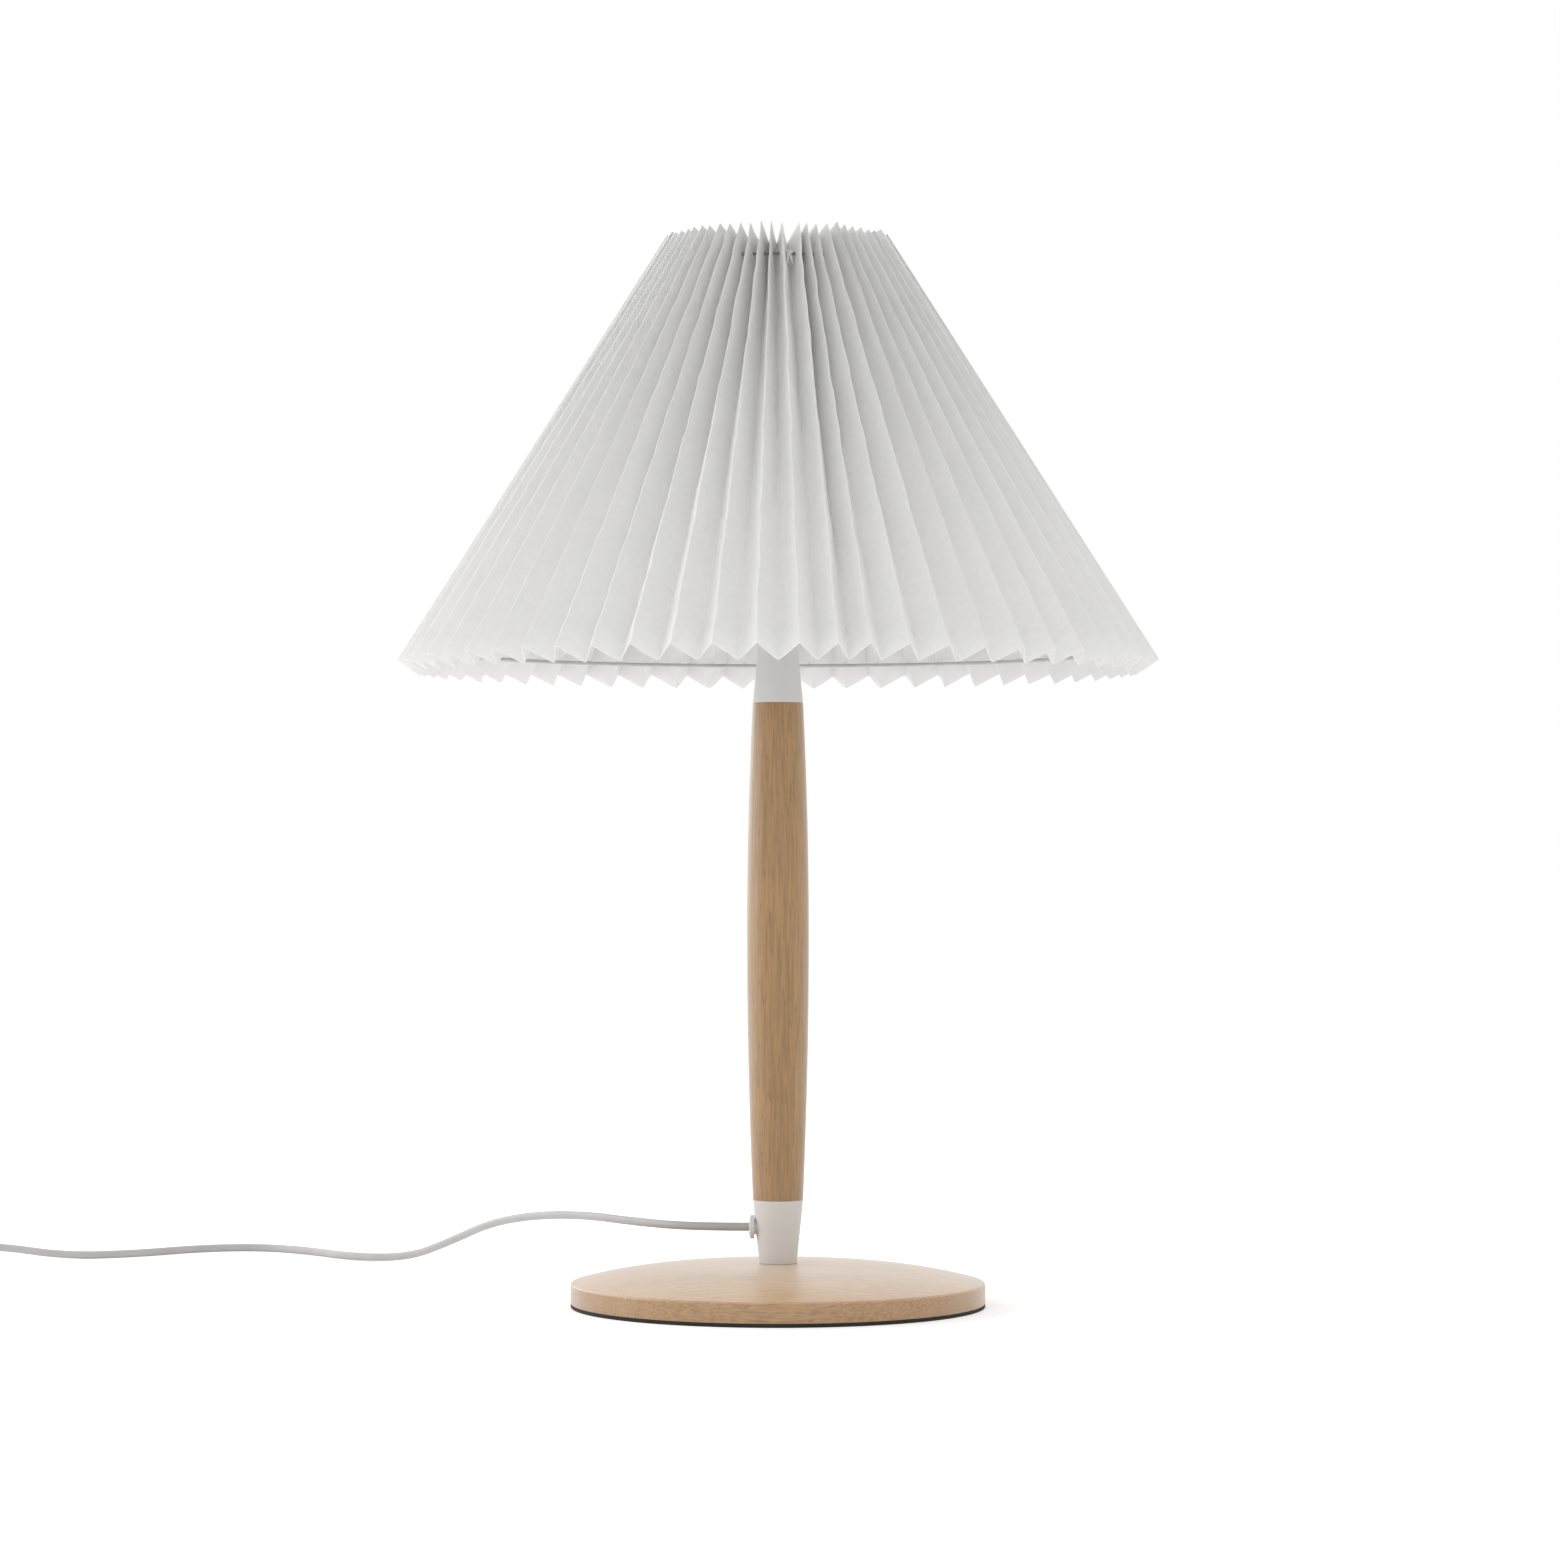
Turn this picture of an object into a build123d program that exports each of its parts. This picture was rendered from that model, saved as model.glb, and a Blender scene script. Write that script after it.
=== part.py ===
from build123d import *
import os
from math import atan2, cos, hypot, pi, radians, sin, sqrt, tan

# Pleated paper table lamp. Millimetres, +Z up. The origin is the centre of the pad's underside.
# The cord leaves the lower collar towards -X, and the lamp is seen from -Y.

# ---- Driving sizes: base ----
base_diameter = 218.0
pad_thickness = 2.0
base_ridge_height = 12.6        # edge between the base's side wall and its domed top
base_top_height = 22.6          # top of the dome
base_edge_round = 1.2
base_land_diameter = 24.0       # flat spot under the lower collar
dome_power = 3                  # the dome falls with the cube of the radius
recess_diameter = 144.0
ballast_diameter = 140.0
ballast_thickness = 5.0
washer_diameter = 24.0
washer_thickness = 1.2
nut_width = 14.0
nut_thickness = 3.0
nut_gap = 0.3                   # above the pad

# ---- Hollow threaded rods and the collars ----
rod_diameter = 10.0             # M10 x 1
rod_bore = 8.0
thread_clearance = 0.1
nipple_engagement = 10.0        # of the base nipple in the lower collar
tube_engagement = 7.0           # of the stem tube in the lower collar and in the lampholder cap
collar_height = 33.5
collar_small_diameter = 19.8
collar_large_diameter = 26.5
collar_edge_round = 0.4

# ---- Wooden stem ----
stem_length = 261.3
stem_end_diameter = 26.5
stem_widest_diameter = 32.5
stem_widest_height = 138.9      # above the stem's lower end
stem_bore = 10.8

# ---- Cord gland ----
gland_height = 41.8
gland_flange_diameter = 12.4
gland_flange_thickness = 2.8
gland_dome = 1.0
gland_standoff = 0.7            # the flat back of the flange beside the conical collar
gland_thread_diameter = 8.0
gland_thread_length = 6.4
gland_bore = 4.0
gland_seat_depth = 1.8          # the cord's jacket ends in this counterbore

# ---- Cord ----
cord_diameter = 4.4
cord_clearance = 0.15
corner_share = 0.45             # share of the shorter run that an arc uses
core_diameter = 1.7
core_spread = 0.9

# ---- Lampholder ----
holder_boss_diameter = 29.0
holder_diameter = 40.0
holder_boss_height = 8.0
holder_ledge_height = 16.0
holder_cap_height = 24.0
holder_wall = 2.0
shoulder_diameter = 46.0
shoulder_thickness = 2.5
barrel_diameter = 39.6
barrel_height = 34.0
barrel_lip = 2.2
barrel_lip_thickness = 2.0
insert_clearance = 0.3
insert_floor = 12.0
insert_bore = 28.6
screw_shell_diameter = 28.2
screw_shell_wall = 0.5
screw_shell_height = 21.0
terminal_width = 4.0
terminal_height = 4.0
terminal_spread = 6.0
contact_strip_width = 5.0
contact_strip_thickness = 0.5
contact_strip_reach = 7.0
contact_rise = 3.0

# ---- Shade ring and shade fitter ----
shade_ring_diameter = 56.0
shade_ring_height = 7.0
shade_ring_clearance = 0.3
shade_ring_ribs = 24
shade_ring_rib_depth = 1.2
fitter_bore = 42.0
fitter_diameter = 51.0
fitter_thickness = 1.5

# ---- Pleated shade ----
pleat_count = 60
shade_diameter = 400.0          # across the ridges at the lower edge
shade_edge_height = 339.5       # of the ridges' lower ends
shade_slope = 32.4              # of the ridge folds, degrees from the vertical
fold_length = 263.8
pleat_face = 17.8               # width of one face of a pleat
paper_thickness = 0.3
front_valley = -90.0            # a valley fold faces the front

# ---- Wire frame and string ----
wire_diameter = 2.0
paper_gap = 0.3                 # between a wire and the folds that rest on it
weld_gap = 0.15
spoke_count = 3
spoke_start = 90.0              # the first spoke points straight back
bottom_ring_rise = 12.7         # above the valley folds' lower ends
top_ring_drop = 11.8            # below the valley folds' upper ends
string_diameter = 1.8
string_drop = 6.6               # below the valley folds' upper ends
string_depth_share = 0.45       # of the pleats' depth, outward from the valley folds
string_hole_clearance = 0.3

# ---- Bulb ----
bulb_seat_gap = 0.3
bulb_length = 108.0
bulb_globe_diameter = 60.0
bulb_wall = 1.2
bulb_cap_diameter = 26.2
bulb_cap_length = 22.0
bulb_cap_wall = 0.6
bulb_contact_diameter = 9.4
bulb_contact_height = 2.0
bulb_shoulder = 4.6             # the cap's tapered end
bulb_neck_height = 28.5         # where the housing leaves the cap
bulb_neck_diameter = 27.0
bulb_joint_height = 62.0        # where the housing meets the globe
bulb_joint_diameter = 58.0

# ---- Inline switch ----
switch_length = 60.0
switch_width = 25.0
switch_corner = 6.0
switch_wall = 1.8
switch_height = 15.0
switch_end_x = -484.0
switch_y = 283.0
switch_cord_height = 6.5
rocker_length = 18.0
rocker_width = 10.0
rocker_gap = 0.5
rocker_angle = 8.0
rocker_pivot_height = 12.6
rocker_rise = 2.6               # of the rocker's ends above its pivot
rocker_dip = 1.0                # of the rocker's middle below its ends
rocker_belly = 3.2
pivot_diameter = 2.0
pivot_clearance = 0.08
cheek_thickness = 2.0
cheek_length = 8.0
cheek_drop = 4.0
screw_diameter = 2.6
screw_head_diameter = 4.8
screw_head_height = 1.6
screw_head_sink = 0.3           # below the casing's underside
screw_length = 9.5
screw_inset = 8.5
boss_diameter = 6.0

# ---- Coil and plug ----
coil_outer_radius = 29.5        # of the outermost turn's centreline
coil_pitch = 4.5
coil_turns_per_layer = 3.125
coil_x = -634.0
coil_stub = 26.0
coil_inset = 0.15               # of the solid ring inside the turns' outer shape
plug_width = 35.3
plug_thickness = 13.7
plug_length = 30.0
plug_rear_width = 13.0
plug_round = 2.5
plug_relief_length = 22.0
plug_relief_diameter = 8.8
plug_relief_tip = 6.2
plug_relief_root = 1.0          # of the relief inside the plug's body
pin_diameter = 4.0
pin_length = 19.0
pin_spacing = 18.6
pin_tip = 0.5

# ---- Levels worked out from them ----
base_radius = base_diameter / 2
collar_bottom = base_top_height
stem_bottom = collar_bottom + collar_height
stem_top = stem_bottom + stem_length
holder_bottom = stem_top + collar_height
recess_top = pad_thickness + nut_gap + nut_thickness + washer_thickness + ballast_thickness
washer_top = recess_top - ballast_thickness
nut_top = washer_top - washer_thickness
shoulder_bottom = holder_bottom + holder_cap_height
fitter_bottom = shoulder_bottom + shoulder_thickness
shade_ring_bottom = fitter_bottom + fitter_thickness
barrel_top = fitter_bottom + barrel_height
insert_bottom = holder_bottom + holder_ledge_height
insert_top_of_floor = insert_bottom + insert_floor
bulb_bottom = insert_top_of_floor + contact_strip_thickness + contact_rise + bulb_seat_gap
half_pleat = 180.0 / pleat_count
gland_share = (gland_height - collar_bottom) / collar_height
collar_spread = collar_large_diameter - collar_small_diameter
gland_back = (collar_small_diameter + gland_share * collar_spread) / 2 + gland_standoff
gland_front = gland_back + gland_flange_thickness
cord_start = -(gland_front - gland_seat_depth)
coil_inner_radius = coil_outer_radius - coil_pitch * coil_turns_per_layer
coil_y = switch_y - coil_outer_radius
plug_x = coil_x - coil_outer_radius
plug_end_y = 128.0
plug_rear = plug_end_y - plug_relief_length
plug_face = plug_rear - plug_length

# Each point was chosen from the photograph's cord, as a stiff cord lies from its gland to the table.
cord_route = [
    (cord_start, 0, gland_height), (-46, 0, gland_height), (-79, 43, 41.2), (-105, 91, 40.6),
    (-135, 138, 36.8), (-163, 180, 29.0), (-188, 214, 15.6), (-214, 241, 4.0), (-247, 262, 2.2),
    (-283, 309, 2.2), (-314, 329, 2.2), (-347, 319, 2.2), (-378, 286, 2.2), (-418, 270, 2.2),
    (-458, switch_y, switch_cord_height), (switch_end_x, switch_y, switch_cord_height),
]
link_route = [
    (switch_end_x - switch_length, switch_y, switch_cord_height), (-560, switch_y, switch_cord_height),
    (-585, switch_y, 2.2), (coil_x + coil_stub, switch_y, 2.2),
]
tail_route = [
    (plug_x, coil_y - coil_stub, 6.7), (plug_x, 209, 6.7), (plug_x - 2, 184, 2.3), (plug_x - 1, 162, 2.4),
    (plug_x, 142, plug_thickness / 2), (plug_x, plug_end_y, plug_thickness / 2),
]


# ---- Helpers ----
from_base = (Align.CENTER, Align.CENTER, Align.MIN)
rod_hole = rod_diameter + 2 * thread_clearance


def turned(*outline):
    """A turned piece: (radius, height) points spun round the vertical axis."""
    return revolve(Plane.XZ * make_face(Polyline(*outline, close=True)), Axis.Z)


def upright(diameter, bottom, top):
    """A vertical cylinder on the lamp's axis between two heights."""
    return Pos(0, 0, bottom) * Cylinder(diameter / 2, top - bottom, align=from_base)


def tube(outer, bore, bottom, top):
    """A vertical tube on the lamp's axis."""
    return upright(outer, bottom, top) - upright(bore, bottom, top)


def along_x(diameter, start, end, height):
    """A cylinder along the X axis, centred on the gland's line."""
    middle = Pos((start + end) / 2, 0, height)
    return middle * Rot(0, 90, 0) * Cylinder(diameter / 2, abs(end - start))


def bar(start, end, diameter):
    """A straight round wire between two points."""
    run = Line(start, end)
    return sweep(Plane(origin=run @ 0, z_dir=run % 0) * Circle(diameter / 2), path=run)


def smooth_radii(route):
    """The radius at each corner that takes its share of the shorter of the two runs."""
    points = [Vector(point) for point in route]
    radii = []
    for before, corner, after in zip(points, points[1:], points[2:]):
        turn = radians((corner - before).get_angle(after - corner))
        shorter = min((corner - before).length, (after - corner).length)
        radii.append(corner_share * shorter / tan(turn / 2))
    return radii


def flex(route, diameter, radii=None):
    """A round cord along straight runs joined by tangent arcs."""
    radii = radii or smooth_radii(route)
    path = FilletPolyline(*route, radius=radii)
    solid = sweep(Plane(origin=path @ 0, z_dir=path % 0) * Circle(diameter / 2), path=path)
    expected = pi * diameter ** 2 / 4 * path.length
    print("radii", [round(r, 1) for r in radii], "length", round(path.length, 1),
          "volume ratio", round(solid.volume / expected, 5))
    return solid


def ring(radius, height, diameter):
    """A closed round wire ring about the lamp's axis."""
    return Pos(0, 0, height) * Torus(radius, diameter / 2)


def around(radius, angle, height):
    """The point at a radius, a compass angle in degrees and a height."""
    return Vector(radius * cos(radians(angle)), radius * sin(radians(angle)), height)


# ---- Base ----
def dome_height(radius):
    fall = base_top_height - base_ridge_height
    return base_top_height - fall * (radius / base_radius) ** dome_power


def base_disc():
    bore = rod_diameter / 2 + thread_clearance
    land = base_land_diameter / 2
    recess = recess_diameter / 2
    share = [0.3, 0.5, 0.7, 0.85, 1.0]
    dome_points = [(land, base_top_height)]
    dome_points += [(base_radius * part, dome_height(base_radius * part)) for part in share]
    edge_slope = (base_radius, -dome_power * (base_top_height - base_ridge_height))
    dome = Spline(*dome_points, tangents=[(1, 0), edge_slope])
    rest = Polyline((base_radius, base_ridge_height), (base_radius, pad_thickness), (recess, pad_thickness),
                    (recess, recess_top), (bore, recess_top), (bore, base_top_height),
                    (land, base_top_height))
    disc = revolve(Plane.XZ * make_face(dome + rest), Axis.Z)
    circles = disc.edges().filter_by(GeomType.CIRCLE)
    rims = circles.filter_by(lambda edge: edge.radius > recess_diameter / 2)
    return fillet(rims.sort_by(Axis.Z)[-1], base_edge_round)


def base_pad():
    return upright(base_diameter, 0, pad_thickness)


def ballast_disc():
    return tube(ballast_diameter, rod_hole, recess_top - ballast_thickness, recess_top)


def base_washer():
    return tube(washer_diameter, rod_hole, nut_top, washer_top)


def base_nut():
    corner_radius = nut_width / 2 / cos(radians(30))
    hexagon = Plane.XY.offset(nut_top - nut_thickness) * RegularPolygon(corner_radius, 6)
    blank = extrude(hexagon, nut_thickness)
    return blank - upright(rod_hole, nut_top - nut_thickness, nut_top)


def base_nipple():
    return tube(rod_diameter, rod_bore, nut_top - nut_thickness, collar_bottom + nipple_engagement)


# ---- Collars, stem and gland ----
def collar(small_end, large_end):
    """A conical collar with a threaded bore, from its small end to its large end."""
    bore = rod_diameter / 2 + thread_clearance
    body = turned((bore, small_end), (collar_small_diameter / 2, small_end),
                  (collar_large_diameter / 2, large_end), (bore, large_end))
    circles = body.edges().filter_by(GeomType.CIRCLE)
    rims = circles.filter_by(lambda edge: edge.radius > bore + collar_edge_round)
    return fillet(rims, collar_edge_round)


def lower_collar():
    hole = gland_thread_diameter + 2 * thread_clearance
    return collar(collar_bottom, stem_bottom) - along_x(hole, -collar_large_diameter, 0, gland_height)


def upper_collar():
    return collar(holder_bottom, stem_top)


def cord_gland():
    """A domed flange with a threaded neck; its flat back stands clear of the cone behind it."""
    back, front = gland_back, gland_front
    flange = gland_flange_diameter / 2
    thread = gland_thread_diameter / 2
    seat = cord_diameter / 2 + cord_clearance
    seat_floor = front - gland_seat_depth
    dome_edge = ThreePointArc((seat, front), ((seat + flange) / 2, front - gland_dome / 3),
                              (flange, front - gland_dome))
    neck_end = back - gland_thread_length
    rest = Polyline((flange, front - gland_dome), (flange, back), (thread, back), (thread, neck_end),
                    (gland_bore / 2, neck_end), (gland_bore / 2, seat_floor), (seat, seat_floor),
                    (seat, front))
    body = revolve(Plane.XZ * make_face(dome_edge + rest), Axis.Z)
    return Pos(0, 0, gland_height) * Rot(0, -90, 0) * body


def stem():
    bore = stem_bore / 2
    end = stem_end_diameter / 2
    widest = (stem_widest_diameter / 2, stem_bottom + stem_widest_height)
    upper = TangentArc(widest, (end, stem_top), tangent=(0, 1))
    lower = TangentArc(widest, (end, stem_bottom), tangent=(0, -1))
    ends = Polyline((end, stem_top), (bore, stem_top), (bore, stem_bottom), (end, stem_bottom))
    return revolve(Plane.XZ * make_face(upper + ends + lower), Axis.Z)


def stem_tube():
    return tube(rod_diameter, rod_bore, stem_bottom - tube_engagement, holder_bottom + tube_engagement)


# ---- Lampholder ----
def holder_cap():
    bore = rod_diameter / 2 + thread_clearance
    outer = holder_diameter / 2
    inner = outer - holder_wall
    ledge = inner - holder_wall
    boss = holder_boss_diameter / 2
    boss_top = holder_bottom + holder_boss_height
    return turned(
        (bore, holder_bottom), (boss, holder_bottom), (outer, insert_bottom), (outer, shoulder_bottom),
        (inner, shoulder_bottom), (inner, insert_bottom), (ledge, insert_bottom),
        (boss - holder_wall, boss_top), (bore, boss_top))


def holder_shell():
    outer = barrel_diameter / 2
    inner = holder_diameter / 2 - holder_wall
    shoulder = shoulder_diameter / 2
    mouth = inner - barrel_lip
    lip_bottom = barrel_top - barrel_lip_thickness
    return turned(
        (inner, shoulder_bottom), (shoulder, shoulder_bottom), (shoulder, fitter_bottom),
        (outer, fitter_bottom), (outer, barrel_top), (mouth, barrel_top), (mouth, lip_bottom),
        (inner, lip_bottom))


def holder_insert():
    outer = holder_diameter / 2 - holder_wall - insert_clearance
    top = barrel_top - barrel_lip_thickness - insert_clearance
    return turned((0, insert_bottom), (outer, insert_bottom), (outer, top), (insert_bore / 2, top),
                  (insert_bore / 2, insert_top_of_floor), (0, insert_top_of_floor))


def screw_shell():
    bore = screw_shell_diameter - 2 * screw_shell_wall
    return tube(screw_shell_diameter, bore, insert_top_of_floor, insert_top_of_floor + screw_shell_height)


def centre_contact():
    """A springy strip, riveted flat at one end and raised under the bulb's contact."""
    floor = insert_top_of_floor
    reach = contact_strip_reach
    rise = floor + contact_rise
    thick = contact_strip_thickness
    underside = [(-reach, floor), (-reach / 2, floor), (-thick, rise), (reach / 2, rise)]
    top = [(x, z + thick) for x, z in reversed(underside)]
    strip = make_face(Polyline(*underside, *top, close=True))
    return extrude(Plane.XZ * strip, contact_strip_width / 2, both=True)


def wire_terminals():
    size = (terminal_width, terminal_width, terminal_height)
    block = Box(*size, align=(Align.CENTER, Align.CENTER, Align.MAX))
    return [Pos(0, side * terminal_spread, insert_bottom) * block for side in (-1, 1)]


def supply_cores():
    """Two insulated wires from the cord's end through the gland and the stem tube to the terminals."""
    spread_start = holder_bottom + holder_boss_height
    wire_end = insert_bottom - terminal_height - core_diameter / 2
    cores = []
    for side in (-1, 1):
        near = side * core_spread
        route = [(cord_start, near, gland_height), (0, near, gland_height), (0, near, spread_start),
                 (0, side * terminal_spread, wire_end)]
        cores.append(flex(route, core_diameter, [2 * core_diameter, core_diameter]))
    return cores


# ---- Pleated shade ----
fold_slope = radians(shade_slope)
fold_out = (cos(fold_slope), sin(fold_slope))       # (radial, up), square to the ridge folds


def pleat_depth(ridge_radius):
    """How far a valley lies inside its ridge, so that the face between them is as wide as the paper."""
    bow = 1 - cos(radians(half_pleat))
    b = ridge_radius * fold_out[0] * bow
    return b + sqrt(b ** 2 + pleat_face ** 2 - 2 * ridge_radius ** 2 * bow)


def fold_end(kind, end):
    """The (radius, height) where a ridge or a valley fold ends, at the bottom or the top."""
    radius = shade_diameter / 2
    height = shade_edge_height
    if end == "top":
        radius -= fold_length * sin(fold_slope)
        height += fold_length * cos(fold_slope)
    if kind == "valley":
        depth = pleat_depth(radius)
        radius, height = radius - depth * fold_out[0], height - depth * fold_out[1]
    return radius, height


def corner_shift(end):
    """Half the paper's thickness, measured along the fold's bisector."""
    ridge, valley = fold_end("ridge", end), fold_end("valley", end)
    depth = hypot(ridge[0] - valley[0], ridge[1] - valley[1])
    opening = atan2((ridge[0] + valley[0]) / 2 * radians(half_pleat), depth)
    return paper_thickness / 2 / sin(opening)


def pleat_corner(index, end, side):
    """A corner of the paper's outer (side 1) or inner (side -1) skin; odd folds are ridges."""
    radius, height = fold_end("ridge" if index % 2 else "valley", end)
    shift = side * corner_shift(end)
    angle = front_valley + index * half_pleat
    return around(radius + shift * fold_out[0], angle, height + shift * fold_out[1])


def valley_inside(height, distance):
    """The radius at a height of a line that runs inside the valley folds at a distance from them."""
    bottom, top = fold_end("valley", "bottom"), fold_end("valley", "top")
    share = (height - bottom[1]) / (top[1] - bottom[1])
    inset = distance + corner_shift("bottom") * (1 - share) + corner_shift("top") * share
    return bottom[0] + share * (top[0] - bottom[0]) - inset / fold_out[0]


string_height = fold_end("valley", "top")[1] - string_drop


def string_radius():
    """The string crosses the pleats a share of their depth outside the valley folds."""
    depth = pleat_depth(fold_end("ridge", "top")[0])
    return valley_inside(string_height, 0) + string_depth_share * depth / fold_out[0]


def pleated_shade():
    """One strip of paper: ruled faces from fold to fold on each skin, narrow faces on the cut edges."""
    ends, sides = ("bottom", "top"), (1, -1)
    faces = []
    for index in range(2 * pleat_count):
        folds = (index, index + 1)
        for side in sides:
            faces.append([[pleat_corner(fold, end, side) for end in ends] for fold in folds])
        for end in ends:
            faces.append([[pleat_corner(fold, end, side) for side in sides] for fold in folds])
    paper = Solid(Shell([Face.make_bezier_surface(corners) for corners in faces]))
    if paper.volume < 0:
        paper = Solid(-paper.shell())
    return paper - ring(string_radius(), string_height, string_diameter + 2 * string_hole_clearance)


def gather_string():
    return ring(string_radius(), string_height, string_diameter)


# ---- Wire frame ----
ring_inset = paper_gap + wire_diameter / 2
bottom_ring_height = fold_end("valley", "bottom")[1] + bottom_ring_rise
top_ring_height = fold_end("valley", "top")[1] - top_ring_drop


def bottom_ring():
    return ring(valley_inside(bottom_ring_height, ring_inset), bottom_ring_height, wire_diameter)


def top_ring():
    return ring(valley_inside(top_ring_height, ring_inset), top_ring_height, wire_diameter)


def spoke_angles():
    return [spoke_start + number * 360 / spoke_count for number in range(spoke_count)]


def frame_struts():
    """Straight wires inside the two rings, one above each spoke."""
    inset = ring_inset + wire_diameter + weld_gap
    overrun = wire_diameter
    heights = (bottom_ring_height + 2 * wire_diameter, top_ring_height + overrun)
    return [bar(*[around(valley_inside(height, inset), angle, height) for height in heights], wire_diameter)
            for angle in spoke_angles()]


def fitter_ring():
    return tube(fitter_diameter, fitter_bore, fitter_bottom, fitter_bottom + fitter_thickness)


def fitter_spokes():
    """Wires from the fitter's edge out and down to the bottom ring."""
    start = (fitter_diameter / 2 + wire_diameter / 2 + weld_gap, fitter_bottom + fitter_thickness / 2)
    ring_radius = valley_inside(bottom_ring_height, ring_inset)
    stop = (ring_radius - wire_diameter / 2 - weld_gap, bottom_ring_height)
    return [bar(*[around(radius, angle, height) for radius, height in (start, stop)], wire_diameter)
            for angle in spoke_angles()]


def shade_ring():
    bore = barrel_diameter + 2 * shade_ring_clearance
    top = shade_ring_bottom + shade_ring_height
    body = tube(shade_ring_diameter, bore, shade_ring_bottom, top)
    for number in range(shade_ring_ribs):
        angle = number * 360 / shade_ring_ribs
        groove = upright(2 * shade_ring_rib_depth, shade_ring_bottom, top)
        body -= Pos(*around(shade_ring_diameter / 2, angle, 0)) * groove
    return body


# ---- Bulb ----
def bulb_contact():
    return upright(bulb_contact_diameter, bulb_bottom, bulb_bottom + bulb_contact_height)


def bulb_cap():
    outer = bulb_cap_diameter / 2
    inner = outer - bulb_cap_wall
    contact = bulb_contact_diameter / 2
    low = bulb_bottom + bulb_contact_height
    shoulder = low + bulb_shoulder
    top = low + bulb_cap_length
    return turned((0, low), (contact, low), (outer, shoulder), (outer, top), (inner, top),
                  (inner, shoulder), (contact, low + bulb_cap_wall), (0, low + bulb_cap_wall))


def bulb_housing():
    """A hollow cone from the cap to the globe, with a spigot inside the cap."""
    low = bulb_bottom + bulb_contact_height + bulb_shoulder + bulb_cap_wall
    spigot = bulb_cap_diameter / 2 - bulb_cap_wall - cord_clearance
    neck = bulb_bottom + bulb_neck_height
    cap_top = bulb_bottom + bulb_contact_height + bulb_cap_length
    joint = bulb_bottom + bulb_joint_height
    wall = bulb_wall
    return turned((spigot - wall, low), (spigot, low), (spigot, cap_top), (bulb_neck_diameter / 2, cap_top),
                  (bulb_neck_diameter / 2, neck), (bulb_joint_diameter / 2, joint),
                  (bulb_joint_diameter / 2 - wall, joint), (spigot - wall, neck))


def bulb_globe():
    """A thin dome: a short flare from the housing up to the widest circle, then a hemisphere."""
    joint = bulb_bottom + bulb_joint_height
    top = bulb_bottom + bulb_length
    outer = bulb_globe_diameter / 2
    inner = outer - bulb_wall
    centre = top - outer
    start = bulb_joint_diameter / 2
    half = sin(radians(45))
    outline = Line((start, joint), (outer, centre))
    outline += ThreePointArc((outer, centre), (outer * half, centre + outer * half), (0, top))
    outline += Line((0, top), (0, top - bulb_wall))
    outline += ThreePointArc((0, top - bulb_wall), (inner * half, centre + inner * half), (inner, centre))
    outline += Polyline((inner, centre), (start - bulb_wall, joint), (start, joint))
    return revolve(Plane.XZ * make_face(outline), Axis.Z)


# ---- Inline switch ----
switch_x = switch_end_x - switch_length / 2
switch_at = Pos(switch_x, switch_y, 0)
pivot_length = rocker_width + 2 * rocker_gap + 2 * cheek_thickness


def rounded_block(length, width, corner, bottom, top):
    return extrude(Plane.XY.offset(bottom) * RectangleRounded(length, width, corner), top - bottom)


def screw_places():
    return [Pos(side * (switch_length / 2 - screw_inset), 0, 0) for side in (-1, 1)]


def post(diameter, bottom, top):
    return Pos(0, 0, bottom) * Cylinder(diameter / 2, top - bottom, align=from_base)


def switch_half(bottom, top, cavity_bottom, cavity_top):
    """Half of the switch's casing, hollow except for a post round each screw."""
    inner_corner = switch_corner - switch_wall
    outer = rounded_block(switch_length, switch_width, switch_corner, bottom, top)
    cavity = rounded_block(switch_length - 2 * switch_wall, switch_width - 2 * switch_wall, inner_corner,
                           cavity_bottom, cavity_top)
    half = outer - cavity
    for place in screw_places():
        half += place * post(boss_diameter, bottom, top)
        half -= place * post(screw_diameter + 2 * thread_clearance, 0, screw_length + thread_clearance)
    return half


def switch_base():
    half = switch_half(0, switch_cord_height, switch_wall, switch_cord_height)
    for place in screw_places():
        half -= place * post(screw_head_diameter + 2 * thread_clearance, 0, screw_head_height)
    return switch_at * half


def switch_cover():
    ceiling = switch_height - switch_wall
    half = switch_half(switch_cord_height, switch_height, switch_cord_height, ceiling)
    half = fillet(half.edges().group_by(Axis.Z)[-1], switch_wall / 2)
    window = (rocker_length + 2 * rocker_gap, rocker_width + 2 * rocker_gap)
    cheek_y = window[1] / 2 + cheek_thickness / 2
    cheek_bottom = rocker_pivot_height - cheek_drop
    for side in (-1, 1):
        cheek = Box(cheek_length, cheek_thickness, ceiling - cheek_bottom, align=from_base)
        half += Pos(0, side * cheek_y, cheek_bottom) * cheek
    half -= Pos(0, 0, switch_height - switch_wall / 2) * Box(*window, 2 * switch_wall)
    hole_radius = pivot_diameter / 2 + pivot_clearance
    hole = Rot(90, 0, 0) * Cylinder(hole_radius, pivot_length + 2 * pivot_clearance)
    return switch_at * (half - Pos(0, 0, rocker_pivot_height) * hole)


def switch_screws():
    head = post(screw_head_diameter, screw_head_sink, screw_head_height)
    screw = head + post(screw_diameter, screw_head_height, screw_length)
    return [switch_at * place * screw for place in screw_places()]


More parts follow.
